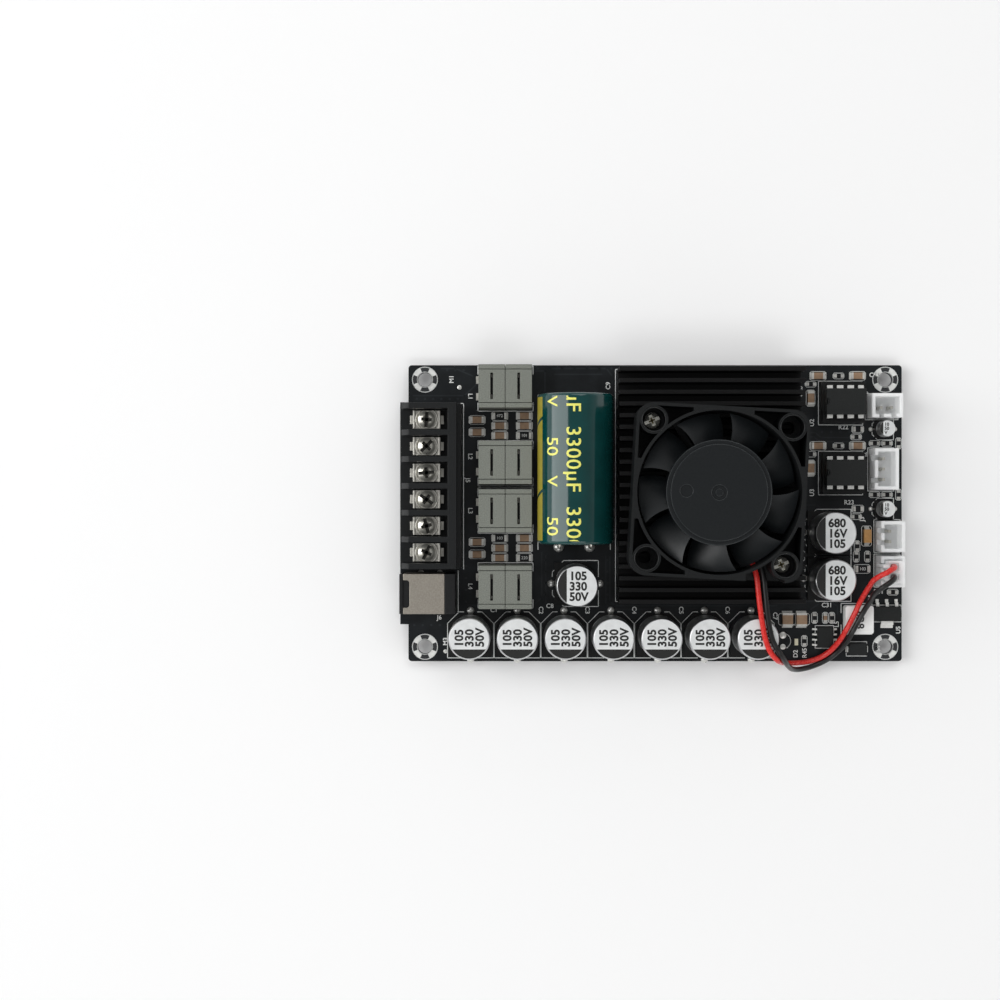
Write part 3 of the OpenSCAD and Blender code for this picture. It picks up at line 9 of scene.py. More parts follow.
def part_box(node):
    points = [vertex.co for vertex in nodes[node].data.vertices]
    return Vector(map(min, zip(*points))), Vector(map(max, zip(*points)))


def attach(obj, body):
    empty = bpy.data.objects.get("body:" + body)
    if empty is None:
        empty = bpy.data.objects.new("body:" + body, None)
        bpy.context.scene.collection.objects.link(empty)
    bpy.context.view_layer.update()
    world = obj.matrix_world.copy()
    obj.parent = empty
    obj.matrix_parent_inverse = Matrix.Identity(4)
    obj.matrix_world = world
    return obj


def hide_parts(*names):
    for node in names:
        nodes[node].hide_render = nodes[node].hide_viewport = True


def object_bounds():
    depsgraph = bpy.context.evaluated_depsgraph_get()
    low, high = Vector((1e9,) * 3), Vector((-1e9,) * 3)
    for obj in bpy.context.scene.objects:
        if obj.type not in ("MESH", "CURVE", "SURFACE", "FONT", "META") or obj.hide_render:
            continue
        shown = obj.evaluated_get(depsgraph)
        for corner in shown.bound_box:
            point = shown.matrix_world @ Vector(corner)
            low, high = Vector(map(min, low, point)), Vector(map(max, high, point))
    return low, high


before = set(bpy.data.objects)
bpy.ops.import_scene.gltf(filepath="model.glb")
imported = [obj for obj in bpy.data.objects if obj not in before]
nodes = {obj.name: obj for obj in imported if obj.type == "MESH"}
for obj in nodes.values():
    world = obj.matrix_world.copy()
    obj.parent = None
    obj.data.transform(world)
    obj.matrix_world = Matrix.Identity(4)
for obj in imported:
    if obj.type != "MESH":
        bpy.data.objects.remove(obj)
cad_low, cad_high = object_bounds()
scene = bpy.context.scene

MM = 0.001
BOARD_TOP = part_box("circuit_board")[1].z


def paint(red, green, blue):
    """A colour as seen on a screen, 0 to 255, as linear light."""
    parts = []
    for value in (red, green, blue):
        share = value / 255
        parts.append(share / 12.92 if share <= 0.04045 else ((share + 0.055) / 1.055) ** 2.4)
    return (*parts, 1.0)


# The camera looks straight down, as in the photograph
EYE_PLACE = (-33.6 * MM, 3.7 * MM, BOARD_TOP + 415 * MM)
SENSOR_WIDTH = 36
LENS = 61.4
LENS_SHIFT = (-0.017, -0.002)
NEAREST_SEEN = 10 * MM
eye = bpy.data.cameras.new("photo_camera")
eye.sensor_width = SENSOR_WIDTH
eye.lens = LENS
eye.shift_x, eye.shift_y = LENS_SHIFT
eye.clip_start = NEAREST_SEEN
eye_object = bpy.data.objects.new("photo_camera", eye)
eye_object.location = EYE_PLACE
scene.collection.objects.link(eye_object)
scene.camera = eye_object
scene.view_settings.view_transform = "Standard"


# Finishes
NOISE_DETAIL = 6
MOTTLE_BAND = (0.3, 0.7)
GLOSS_SWING = 0.07
LEAST_ROUGH = 0.03
GRAIN_DEPTH = 0.05 * MM
COAT_ROUGH = 0.09
GLOW_WEIGHT = 0.8


def finish(name, colour, rough, metal=0.0, grain=900.0, mottle=0.12, bump=0.08, coat=0.0, shine=0.5,
           glow_depth=0.0):
    """A surface with fine mottling in its colour and gloss, and a shallow grain."""
    material = bpy.data.materials.new(name)
    material.use_nodes = True
    tree = material.node_tree
    shader = tree.nodes["Principled BSDF"]
    place = tree.nodes.new("ShaderNodeTexCoord")
    cloud = tree.nodes.new("ShaderNodeTexNoise")
    cloud.inputs["Scale"].default_value = grain
    cloud.inputs["Detail"].default_value = NOISE_DETAIL
    tree.links.new(place.outputs["Object"], cloud.inputs["Vector"])
    ramp = tree.nodes.new("ShaderNodeValToRGB")
    dark, light = ramp.color_ramp.elements
    dark.position, light.position = MOTTLE_BAND
    dark.color = (*[max(0, c * (1 - mottle)) for c in colour[:3]], 1)
    light.color = (*[min(1, c * (1 + mottle)) for c in colour[:3]], 1)
    tree.links.new(cloud.outputs["Fac"], ramp.inputs["Fac"])
    tree.links.new(ramp.outputs["Color"], shader.inputs["Base Color"])
    gloss = tree.nodes.new("ShaderNodeMapRange")
    gloss.inputs["To Min"].default_value = max(LEAST_ROUGH, rough - GLOSS_SWING)
    gloss.inputs["To Max"].default_value = min(1.0, rough + GLOSS_SWING)
    tree.links.new(cloud.outputs["Fac"], gloss.inputs["Value"])
    tree.links.new(gloss.outputs["Result"], shader.inputs["Roughness"])
    relief = tree.nodes.new("ShaderNodeBump")
    relief.inputs["Strength"].default_value = bump
    relief.inputs["Distance"].default_value = GRAIN_DEPTH
    tree.links.new(cloud.outputs["Fac"], relief.inputs["Height"])
    tree.links.new(relief.outputs["Normal"], shader.inputs["Normal"])
    shader.inputs["Metallic"].default_value = metal
    shader.inputs["Specular IOR Level"].default_value = shine
    if coat:
        shader.inputs["Coat Weight"].default_value = coat
        shader.inputs["Coat Roughness"].default_value = COAT_ROUGH
    if glow_depth:
        shader.inputs["Subsurface Weight"].default_value = GLOW_WEIGHT
        shader.inputs["Subsurface Radius"].default_value = (1.0, 1.0, 1.0)
        shader.inputs["Subsurface Scale"].default_value = glow_depth
    return material


solder_mask = finish("solder_mask", paint(17, 21, 24), 0.34, grain=350, mottle=0.25, bump=0.05, shine=0.3)
terminal_black = finish("terminal_black", paint(19, 21, 22), 0.45, grain=2500, bump=0.25, shine=0.25)
jack_black = finish("jack_black", paint(18, 19, 20), 0.4, grain=2500, bump=0.2, shine=0.3)
tinned = finish("tinned", paint(214, 212, 204), 0.38, metal=1.0, grain=1500, mottle=0.1, bump=0.15)
screw_plate = finish("screw_plate", paint(222, 220, 210), 0.3, metal=0.85, grain=2200, mottle=0.08, bump=0.1)
fan_screw_plate = finish("fan_screw_plate", paint(250, 248, 238), 0.24, metal=0.8, grain=2200, mottle=0.08,
                         bump=0.1)
lead_tin = finish("lead_tin", paint(240, 240, 236), 0.36, metal=0.3, grain=1500, mottle=0.06, bump=0.1)
cap_tin = finish("cap_tin", paint(208, 207, 202), 0.4, metal=0.6, grain=1500, mottle=0.12, bump=0.15)
shield_plate = finish("shield_plate", paint(164, 158, 148), 0.42, metal=1.0, grain=2600, mottle=0.12,
                      bump=0.2)
ferrite_grey = finish("ferrite_grey", paint(120, 123, 116), 0.75, grain=5000, mottle=0.35, bump=0.5,
                      shine=0.2)
copper = finish("copper", paint(184, 115, 66), 0.35, metal=1.0, grain=1200)
can_silver = finish("can_silver", paint(190, 191, 192), 0.3, metal=1.0, grain=700, mottle=0.06, bump=0.05)
sleeve_teal = finish("sleeve_teal", paint(6, 58, 57), 0.14, grain=220, mottle=0.12, bump=0.02, coat=0.5,
                     shine=0.35)
seal_rubber = finish("seal_rubber", paint(24, 23, 22), 0.8, grain=1800, bump=0.3, shine=0.2)
anodised = finish("anodised", paint(9, 9, 10), 0.42, grain=1400, mottle=0.2, bump=0.12, shine=0.2)
pad_grey = finish("pad_grey", paint(150, 155, 160), 0.8, grain=1500)
chip_mould = finish("chip_mould", paint(26, 28, 28), 0.55, grain=2600, mottle=0.18, bump=0.3, shine=0.25)
socket_black = finish("socket_black", paint(17, 18, 18), 0.5, grain=2600, bump=0.25, shine=0.25)
fan_black = finish("fan_black", paint(15, 17, 18), 0.46, grain=2400, mottle=0.12, bump=0.15, shine=0.25)
rotor_black = finish("rotor_black", paint(21, 24, 26), 0.33, grain=2400, mottle=0.12, bump=0.12, shine=0.32)
# Painted highlight: lighter, glossier blacks for the rounded edge beads of the fan's hub and bosses
rotor_edge_highlight = finish("rotor_edge_highlight", paint(34, 38, 40), 0.3, grain=2400, mottle=0.12, bump=0.12, shine=0.4)
frame_edge_highlight = finish("frame_edge_highlight", paint(24, 26, 27), 0.34, grain=2400, mottle=0.12, bump=0.12, shine=0.4)
magnet_black = finish("magnet_black", paint(60, 60, 62), 0.7, grain=1800, bump=0.2)
bronze = finish("bronze", paint(168, 130, 80), 0.45, metal=1.0, grain=1600)
core_steel = finish("core_steel", paint(140, 142, 146), 0.4, metal=1.0, grain=1600)
red_jacket = finish("red_jacket", paint(206, 38, 32), 0.28, grain=1300, mottle=0.08, bump=0.1)
black_jacket = finish("black_jacket", paint(16, 16, 17), 0.3, grain=1300, mottle=0.15, bump=0.1, shine=0.4)
header_white = finish("header_white", paint(248, 250, 251), 0.42, grain=1200, mottle=0.02, bump=0.08,
                      glow_depth=4 * MM)
choke_white = finish("choke_white", paint(236, 236, 234), 0.6, grain=1500, mottle=0.03, bump=0.15)
mlcc_tan = finish("mlcc_tan", paint(150, 122, 96), 0.5, grain=1100, mottle=0.15, bump=0.12)
resistor_black = finish("resistor_black", paint(20, 21, 23), 0.35, grain=1200, mottle=0.15, shine=0.3)
tantalum_amber = finish("tantalum_amber", paint(190, 142, 84), 0.5, grain=1400, mottle=0.1, bump=0.15)
led_clear = finish("led_clear", paint(226, 222, 196), 0.25, grain=900, mottle=0.05, coat=0.5)
base_black = finish("base_black", paint(16, 16, 16), 0.5, grain=2400, bump=0.2, shine=0.25)
# Painted sheen: a pale, nearly matt finish for the can tops, standing in for the bright reflection of their
# metal
can_top_painted_sheen = finish("can_top_painted_sheen", paint(222, 224, 224), 0.42, metal=0.2, grain=700, mottle=0.05, bump=0.05)
silk_white = finish("silk_white", paint(226, 228, 226), 0.6, grain=1800, mottle=0.05, bump=0.1)
ink_black = finish("ink_black", paint(17, 17, 16), 0.45, grain=1500, mottle=0.15)
print_black = finish("print_black", paint(40, 40, 40), 0.5, grain=1500, mottle=0.15)
print_yellow = finish("print_yellow", paint(228, 226, 110), 0.4, grain=900, mottle=0.08)
stripe_yellow = finish("stripe_yellow", paint(150, 138, 46), 0.4, grain=900, mottle=0.1)
pad_silver = finish("pad_silver", paint(226, 227, 224), 0.4, metal=0.2, grain=900, mottle=0.08, bump=0.15)
pad_dark = finish("pad_dark", paint(36, 38, 40), 0.4, grain=900, mottle=0.12)
solder = finish("solder", paint(214, 214, 210), 0.3, metal=0.6, grain=1200, mottle=0.1, bump=0.2)
mask_copper = finish("mask_copper", paint(31, 35, 38), 0.36, grain=350, mottle=0.2, bump=0.05, shine=0.3)
# Painted shade: near-black strips standing in for the shadow deep in the inductor core slots
slot_painted_shade = finish("slot_painted_shade", paint(9, 9, 9), 0.8, grain=1500, shine=0.1)
# Painted shade: the dark cross in each screw's recess, olive-toned on the fan screws
drive_painted_shade = finish("drive_painted_shade", paint(34, 33, 29), 0.5, metal=0.4, grain=1800, mottle=0.2, bump=0.15)
fan_drive_painted_shade = finish("fan_drive_painted_shade", paint(126, 116, 78), 0.4, metal=0.6, grain=1800, mottle=0.2, bump=0.15)

node_finish = {
    "circuit_board": solder_mask,
    "terminal_housing": terminal_black,
    "terminal_contacts": tinned,
    "jack_housing": jack_black,
    "jack_shield": shield_plate,
    "jack_pin": tinned,
    "jack_spring": tinned,
    "inductor_coils": tinned,
    "bulk_capacitor_can": can_silver,
    "bulk_capacitor_sleeve": sleeve_teal,
    "bulk_capacitor_seal": seal_rubber,
    "bulk_capacitor_leads": tinned,
    "rail_capacitors": can_silver,
    "supply_capacitors": can_silver,
    "input_capacitors": can_silver,
    "capacitor_bases": base_black,
    "capacitor_feet": tinned,
    "heatsink": anodised,
    "thermal_pad": pad_grey,
    "amplifier_chip": chip_mould,
    "heatsink_screws": screw_plate,
    "fan_frame": fan_black,
    "fan_rotor": rotor_black,
    "fan_magnet": magnet_black,
    "fan_shaft": screw_plate,
    "fan_bearing": bronze,
    "fan_stator": core_steel,
    "fan_coils": copper,
    "fan_screws": fan_screw_plate,
    "fan_plug": header_white,
    "header_housings": header_white,
    "connector_pins": tinned,
    "opamp_sockets": socket_black,
    "opamps": chip_mould,
    "chip_packages": chip_mould,
    "chip_leads": lead_tin,
    "converter_inductor": choke_white,
    "chip_capacitors": mlcc_tan,
    "chip_resistors": resistor_black,
    "chip_end_caps": cap_tin,
    "tantalum_capacitor": tantalum_amber,
    "status_led": led_clear,
}
for number in range(1, 7):
    node_finish[f"terminal_screw_{number}"] = screw_plate
    node_finish[f"terminal_clamp_{number}"] = tinned
for number in range(1, 5):
    node_finish[f"inductor_core_{number}"] = ferrite_grey
for name, material in node_finish.items():
    nodes[name].data.materials.clear()
    nodes[name].data.materials.append(material)


# Fan wires: the routes of the part's source, in millimetres
WIRE_D = 1.3 * MM
RED_ROUTE = [
    (19.2, -6.5, 15.5), (20.7, -9.5, 15.5), (22, -12.2, 15.5), (22.8, -15, 15.5), (23.2, -18.5, 15.4),
    (23.6, -22, 15.3), (24.2, -26, 15.1), (25.2, -30.5, 15), (26.3, -32.9, 15), (27.5, -34.3, 14.6),
    (28.9, -35.2, 11.6), (31, -35.9, 7.2), (34.2, -36.2, 3.8), (37.7, -35.8, 2.8), (41.2, -34.2, 3.1),
    (43.9, -31.2, 4.8), (45.5, -28, 6.7), (47.2, -24.6, 7.1), (48.4, -21.6, 8), (49.3, -19.4, 9.3),
    (50.2, -17.4, 10.9), (50.9, -15.7, 13.1), (52.3, -14.5, 14.8), (53.5, -13.9, 15), (54.7, -13.2, 14.6),
    (55.6, -12.8, 13.6), (55.9, -12.6, 12.3), (55.9, -12.6, 10.6)]
BLACK_ROUTE = [
    (20.6, -5.9, 15.5), (22, -8.8, 15.5), (23.4, -11.6, 15.5), (24.3, -14.5, 15.5), (24.8, -18.5, 15.4),
    (25.2, -22.5, 15.3), (25.8, -26.5, 15.1), (26.8, -30.3, 15), (28.1, -32.6, 15.1), (29.6, -34.6, 13.6),
    (31, -36.3, 10.2), (33, -37.5, 6.4), (35.8, -37.6, 3.8), (38.7, -36.9, 2.7), (41.5, -35.6, 2.6),
    (44, -33.6, 3.4), (45.7, -31.3, 5.3), (46.9, -28.6, 6.9), (48.4, -25.7, 7.3), (49.7, -23, 8.2),
    (50.7, -20.8, 10), (51.2, -18.9, 12.7), (52.4, -17.5, 14.8), (53.7, -16.6, 15), (54.8, -15.9, 14.6),
    (55.6, -15.3, 13.6), (55.9, -15.1, 12.3), (55.9, -15.1, 10.6)]


def fan_lead(name, route, jacket, node):
    """A lead from the fan to its plug, a little longer than the straight runs of its route."""
    curve = bpy.data.curves.new(name, "CURVE")
    curve.dimensions = "3D"
    curve.bevel_depth = WIRE_D / 2
    curve.bevel_resolution = 5
    curve.resolution_u = 8
    curve.use_fill_caps = True
    spline = curve.splines.new("BEZIER")
    spline.bezier_points.add(len(route) - 1)
    for point, place in zip(spline.bezier_points, route):
        point.co = Vector(place) * MM
        point.handle_left_type = "AUTO"
        point.handle_right_type = "AUTO"
    lead = bpy.data.objects.new(name, curve)
    scene.collection.objects.link(lead)
    curve.materials.append(jacket)
    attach(lead, "base")
    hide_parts(node)


fan_lead("fan_lead_red", RED_ROUTE, red_jacket, "fan_wire_red")
fan_lead("fan_lead_black", BLACK_ROUTE, black_jacket, "fan_wire_black")


# Reading the frame's solids
SAME_POINT = 0.001 * MM


def solids_of(name):
    """The separate solids of a CAD node, as low corner, high corner, in the order of their places."""
    mesh = nodes[name].data
    places = np.array([v.co for v in mesh.vertices], float).reshape(-1, 3)
    cells = np.round(places / SAME_POINT).astype(np.int64)
    keys, inverse = np.unique(cells, axis=0, return_inverse=True)
    inverse = np.asarray(inverse).ravel()
    parent = list(range(len(keys)))

    def root(i):
        while parent[i] != i:
            parent[i] = parent[parent[i]]
            i = parent[i]
        return i

    for polygon in mesh.polygons:
        first, *others = [inverse[i] for i in polygon.vertices]
        for other in others:
            parent[root(other)] = root(first)
    groups = {}
    for index, key in enumerate(inverse):
        groups.setdefault(root(key), []).append(index)
    boxes = [(Vector(places[g].min(0)), Vector(places[g].max(0))) for g in groups.values()]
    return sorted(boxes, key=lambda b: (round(b[0].x, 5), round(b[0].y, 5)))


# Making pieces
CAPITAL_SHARE = 0.72
MERGE_WITHIN = 0.002 * MM
SMOOTH_BELOW = math.radians(38)
ROUND_ABOVE = math.radians(40)


def open_piece(name):
    """An empty mesh at the origin, open for editing."""
    bpy.ops.object.select_all(action="DESELECT")
    bpy.ops.object.add(type="MESH", location=(0, 0, 0))
    piece = bpy.context.active_object
    piece.name = name
    bpy.ops.object.mode_set(mode="EDIT")
    return piece


def close_piece(piece, materials, body="base"):
    bpy.ops.object.mode_set(mode="OBJECT")
    for material in materials:
        piece.data.materials.append(material)
    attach(piece, body)
    piece.select_set(False)


def strip(start, end, width, z):
    """A flat printed stroke between two points of the open piece."""
    run = Vector(end) - Vector(start)
    middle = ((start[0] + end[0]) / 2, (start[1] + end[1]) / 2, z)
    bpy.ops.mesh.primitive_plane_add(size=1, location=middle)
    bpy.ops.transform.resize(value=(run.length + width, width, 1), center_override=middle)
    bpy.ops.transform.rotate(value=-math.atan2(run.y, run.x), orient_axis="Z", center_override=middle)


def stroke(points, width, z, closed=False):
    ends = list(zip(points, points[1:]))
    if closed:
        ends.append((points[-1], points[0]))
    for start, end in ends:
        strip(start, end, width, z)


def arc_points(centre, radius, first, last, steps):
    turns = [math.radians(first + (last - first) * i / steps) for i in range(steps + 1)]
    return [(centre[0] + radius * math.cos(a), centre[1] + radius * math.sin(a)) for a in turns]


def lettering(body, height, place, turn=0.0, weight=0.0, across="CENTER", spacing=1.0):
    """A flat text as a mesh object, its middle at place, turned in the plane of the board."""
    bpy.ops.object.select_all(action="DESELECT")
    bpy.ops.object.text_add(location=(0, 0, 0))
    words = bpy.context.active_object
    words.data.body = body
    words.data.size = height / CAPITAL_SHARE
    words.data.align_x = across
    words.data.align_y = "CENTER"
    words.data.offset = weight * height
    words.data.space_character = spacing
    words.data.resolution_u = 3
    bpy.ops.object.convert(target="MESH")
    words = bpy.context.active_object
    words.data.transform(Matrix.Translation(Vector(place)) @ Matrix.Rotation(math.radians(turn), 4, "Z"))
    return words


def gather(name, parts, materials, body="base"):
    """Joins made parts into one piece."""
    bpy.ops.object.select_all(action="DESELECT")
    for part in parts:
        part.select_set(True)
    bpy.context.view_layer.objects.active = parts[0]
    bpy.ops.object.join()
    piece = bpy.context.active_object
    piece.name = name
    piece.data.name = name
    for material in materials:
        piece.data.materials.append(material)
    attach(piece, body)
    piece.select_set(False)


def copy_part(part, matrix):
    copied = part.copy()
    copied.data = part.data.copy()
    copied.data.transform(matrix)
    scene.collection.objects.link(copied)
    return copied


def round_edges(name, width, body="base"):
    """A node's solid with its sharp edges rounded, or only smoothed at width 0, which stands for the node."""
    piece = bpy.data.objects.new(name + "_rounded", nodes[name].data.copy())
    scene.collection.objects.link(piece)
    bpy.ops.object.select_all(action="DESELECT")
    piece.select_set(True)
    bpy.context.view_layer.objects.active = piece
    bpy.ops.mesh.customdata_custom_splitnormals_clear()
    bpy.ops.object.mode_set(mode="EDIT")
    bpy.ops.mesh.select_all(action="SELECT")
    bpy.ops.mesh.remove_doubles(threshold=MERGE_WITHIN)
    bpy.ops.object.mode_set(mode="OBJECT")
    bpy.ops.object.shade_smooth_by_angle(angle=SMOOTH_BELOW)
    if width:
        rounding = piece.modifiers.new("rounding", "BEVEL")
        rounding.width = width
        rounding.segments = 2
        rounding.limit_method = "ANGLE"
        rounding.angle_limit = ROUND_ABOVE
        rounding.use_clamp_overlap = False
        rounding.loop_slide = False
        rounding.harden_normals = True
        bpy.ops.object.modifier_apply(modifier="rounding")
    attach(piece, body)
    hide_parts(name)
    piece.select_set(False)


CORE_ROUNDING = 0.1 * MM
CLAMP_ROUNDING = 0.08 * MM
ROUNDED = {"terminal_housing": 0.15, "jack_housing": 0.15, "jack_shield": 0.1, "heatsink": 0.1,
           "header_housings": 0.1, "fan_frame": 0.0, "opamps": 0.12, "opamp_sockets": 0.1,
           "chip_packages": 0.08, "converter_inductor": 0.12, "terminal_contacts": 0.06}
for name, width in ROUNDED.items():
    round_edges(name, width * MM)
for number in range(1, 5):
    round_edges(f"inductor_core_{number}", CORE_ROUNDING)
for number in range(1, 7):
    round_edges(f"terminal_clamp_{number}", CLAMP_ROUNDING, f"clamp_{number}")
round_edges("fan_rotor", 0.0, "rotor")

# Rounded beads along the moulded edges of the fan's hub, marks and bosses, in a lighter, glossier black than
# the fan: real rounding with a painted highlight
fan_axis = (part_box("fan_magnet")[0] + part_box("fan_magnet")[1]) / 2
HUB_R = 12.25 * MM
HUB_STEP = 1.0 * MM
HUB_SHOULDER = 0.4 * MM
HUB_RECESS_X = -7.6 * MM
HUB_RECESS_R = 1.5 * MM
HUB_BOSS_R = 1.8 * MM
BOSS_BORE_R = 2.65 * MM
BOSS_OFFSET = 16 * MM
FAN_TURN = -3.1
BEAD_SINK = 0.8
HUB_BEAD = 0.16 * MM
STEP_BEAD = 0.14 * MM
MARK_BEAD = 0.1 * MM
MARK_RIM = 0.12 * MM
BOSS_BEAD = 0.12 * MM
BOSS_RIM = 0.2 * MM
fan_spin = Matrix.Rotation(math.radians(FAN_TURN), 2)


def bead(place, radius, top, thick):
    """A ring of round section let into the open piece's edge, its crown just above top."""
    sink = BEAD_SINK * thick
    bpy.ops.mesh.primitive_torus_add(major_radius=radius - sink, minor_radius=thick, major_segments=96,
                                     minor_segments=8, location=(place.x, place.y, top - sink))


def close_beads(piece, material, body):
    bpy.ops.mesh.select_all(action="SELECT")
    bpy.ops.mesh.faces_shade_smooth()
    close_piece(piece, [material], body)


hub_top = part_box("fan_rotor")[1].z
hub_beads = open_piece("hub_beads")
bead(fan_axis, HUB_R, hub_top - HUB_SHOULDER, HUB_BEAD)
bead(fan_axis, HUB_R - HUB_STEP, hub_top, STEP_BEAD)
bead(fan_axis.xy + fan_spin @ Vector((HUB_RECESS_X, 0)), HUB_RECESS_R + MARK_RIM, hub_top, MARK_BEAD)
bead(fan_axis, HUB_BOSS_R + MARK_RIM, hub_top, MARK_BEAD)
bead(fan_axis, HUB_BOSS_R / 2, hub_top, MARK_BEAD)
close_beads(hub_beads, rotor_edge_highlight, "rotor")
frame_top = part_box("fan_frame")[1].z
boss_beads = open_piece("boss_beads")
for side_x, side_y in itertools.product((-1, 1), (-1, 1)):
    corner = fan_spin @ Vector((side_x * BOSS_OFFSET, side_y * BOSS_OFFSET))
    bead(fan_axis.xy + corner, BOSS_BORE_R + BOSS_RIM, frame_top, BOSS_BEAD)
close_beads(boss_beads, frame_edge_highlight, "base")


# Outlines printed on the board
SILK_Z = BOARD_TOP + 0.015 * MM
SILK_LINE = 0.18 * MM
CAN_MARGIN = 0.45 * MM
CAN_CUT = 0.5
CAN_FOOT = 0.3
silk = open_piece("silk_print")


def silk_line(points):
    stroke(points, SILK_LINE, SILK_Z)


def silk_box(low, high, grow, gap=0.0):
    """A printed rectangle round a part, its two sides along Y broken in the middle by gap."""
    x0, y0, x1, y1 = low.x - grow, low.y - grow, high.x + grow, high.y + grow
    for y in (y0, y1):
        silk_line([(x0, y), (x1, y)])
    middle = (y0 + y1) / 2
    for x in (x0, x1):
        if gap:
            silk_line([(x, y0), (x, middle - gap / 2)])
            silk_line([(x, middle + gap / 2), (x, y1)])
        else:
            silk_line([(x, y0), (x, y1)])


def silk_can(low, high, turn):
    """The square of a can capacitor, with two cut corners and a gap at each foot."""
    half = (high.x - low.x) / 2 + CAN_MARGIN
    cut = half * CAN_CUT
    foot = half * CAN_FOOT
    middle = (low + high) / 2
    paths = [[(-foot, half), (cut - half, half), (-half, half - cut), (-half, -half), (-foot, -half)],
             [(foot, half), (half - cut, half), (half, half - cut), (half, -half), (foot, -half)]]
    spin = Matrix.Rotation(math.radians(turn), 2)
    for path in paths:
        points = [spin @ Vector(p) for p in path]
        silk_line([(middle.x + p.x, middle.y + p.y) for p in points])


ROW_Y = -24 * MM
PART_GAP = 0.4 * MM
JACK_OVER = 0.3 * MM
TERMINAL_LINE_X = -59.5 * MM
SLEEVE_INSET = 0.2 * MM
LEADS_OUT = 1.6 * MM
EMPTY_PART = (31.1 * MM, -31.1 * MM)
EMPTY_PART_R = 1.9 * MM
for low, high in solids_of("capacitor_bases"):
    silk_can(low, high, 0 if (low.y + high.y) / 2 < ROW_Y else 90)
for number in range(1, 5):
    low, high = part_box(f"inductor_core_{number}")
    silk_box(low, high, 0.35 * MM, gap=7 * MM)
for node in ("header_housings", "opamp_sockets"):
    for low, high in solids_of(node):
        silk_box(low, high, 0.3 * MM)
silk_box(*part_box("heatsink"), 0.25 * MM)
silk_box(*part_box("converter_inductor"), 0.35 * MM, gap=3 * MM)
for low, high in solids_of("chip_packages"):
    silk_box(low, high, 0.3 * MM, gap=2 * MM)
jack_low, jack_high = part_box("jack_housing")
jack_x = jack_high.x + PART_GAP
silk_line([(jack_x, jack_low.y - JACK_OVER), (jack_x, jack_high.y + JACK_OVER)])
terminal_low, terminal_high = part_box("terminal_housing")
terminal_x, terminal_y = terminal_high.x + PART_GAP, terminal_high.y + PART_GAP
silk_line([(TERMINAL_LINE_X, terminal_y), (terminal_x, terminal_y), (terminal_x, terminal_low.y - PART_GAP)])
bulk_low, bulk_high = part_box("bulk_capacitor_sleeve")
left, right = bulk_low.x + SLEEVE_INSET, bulk_high.x - SLEEVE_INSET
near, far = bulk_low.y - LEADS_OUT, bulk_high.y + PART_GAP
silk_line([(left, near), (left, far), (right, far), (right, near)])
silk_line(arc_points(EMPTY_PART, EMPTY_PART_R, -60, 240, 24))

# Outlines of the chip parts, with cut corners
end_caps = solids_of("chip_end_caps")
chip_bodies = solids_of("chip_capacitors") + solids_of("chip_resistors") + solids_of("tantalum_capacitor")
CHIP_SIDE = 0.3 * MM
CHIP_END = 0.85 * MM
CHIP_CUT = 0.35 * MM
CHIP_LINE = 0.13 * MM
for low, high in chip_bodies:
    along_x = high.x - low.x > high.y - low.y
    reach_x, reach_y = (CHIP_END, CHIP_SIDE) if along_x else (CHIP_SIDE, CHIP_END)
    x0, y0, x1, y1 = low.x - reach_x, low.y - reach_y, high.x + reach_x, high.y + reach_y
    stroke([(x0 + CHIP_CUT, y0), (x1 - CHIP_CUT, y0), (x1, y0 + CHIP_CUT), (x1, y1 - CHIP_CUT),
            (x1 - CHIP_CUT, y1), (x0 + CHIP_CUT, y1), (x0, y1 - CHIP_CUT), (x0, y0 + CHIP_CUT)],
           CHIP_LINE, SILK_Z, closed=True)
close_piece(silk, [silk_white])


# Copper under the solder mask: tracks, and stitching holes in rows along the edges
TRACK_Z = BOARD_TOP + 0.006 * MM
TRACK_W = 0.34 * MM
VIA_R = 0.3 * MM
TRACKS = [
    [(-58.8, 28.6), (-46.4, 28.6), (-43.6, 31.2)], [(-52.0, 35.2), (-48.6, 35.2), (-44.4, 33.4)],
    [(-29.4, 34.6), (-26.8, 34.6), (-26.8, 29.6)], [(-25.6, 35.2), (-11.8, 35.2), (-10.6, 33.6)],
    [(-24.4, 33.8), (-13.0, 33.8)], [(-45.6, -22.4), (-29.6, -22.4), (-27.6, -20.6), (-27.6, -9.6)],
    [(-26.6, -21.6), (-26.6, -10.4)], [(-11.0, -10.6), (-11.0, -21.4), (-9.8, -22.5), (29.6, -22.5)],
    [(-12.0, -10.6), (-12.0, -22.2), (-10.2, -23.4), (-1.0, -23.4)],
    [(36.0, 19.6), (39.0, 19.6), (40.4, 18.4), (50.2, 18.4)],
    [(36.0, 18.6), (38.6, 18.6), (40.2, 17.4), (50.2, 17.4)],
    [(36.0, 2.0), (39.4, 2.0), (40.6, 1.0), (46.6, 1.0)],
    [(36.2, -21.4), (42.4, -21.4), (44.4, -22.6), (44.4, -24.6)],
    [(37.6, -27.6), (37.6, -23.6), (39.6, -22.2)]]
tracks = open_piece("board_tracks")
for path in TRACKS:
    stroke([(x * MM, y * MM) for x, y in path], TRACK_W, TRACK_Z)
VIA_ROWS = [
    ((-58.0, 27.8), (-48.0, 27.8), 6), ((-50.6, 34.8), (-46.6, 34.8), 3), ((-28.6, 35.2), (-10.6, 35.2), 7),
    ((-26.8, -11.4), (-26.8, -19.8), 4), ((-11.6, -11.4), (-11.6, -19.8), 4),
    ((-46.0, -24.4), (-46.0, -10.0), 6), ((40.6, 19.8), (49.6, 19.8), 5), ((36.6, -18.6), (36.6, -20.6), 2),
    ((-58.6, -27.2), (-52.4, -27.2), 4)]
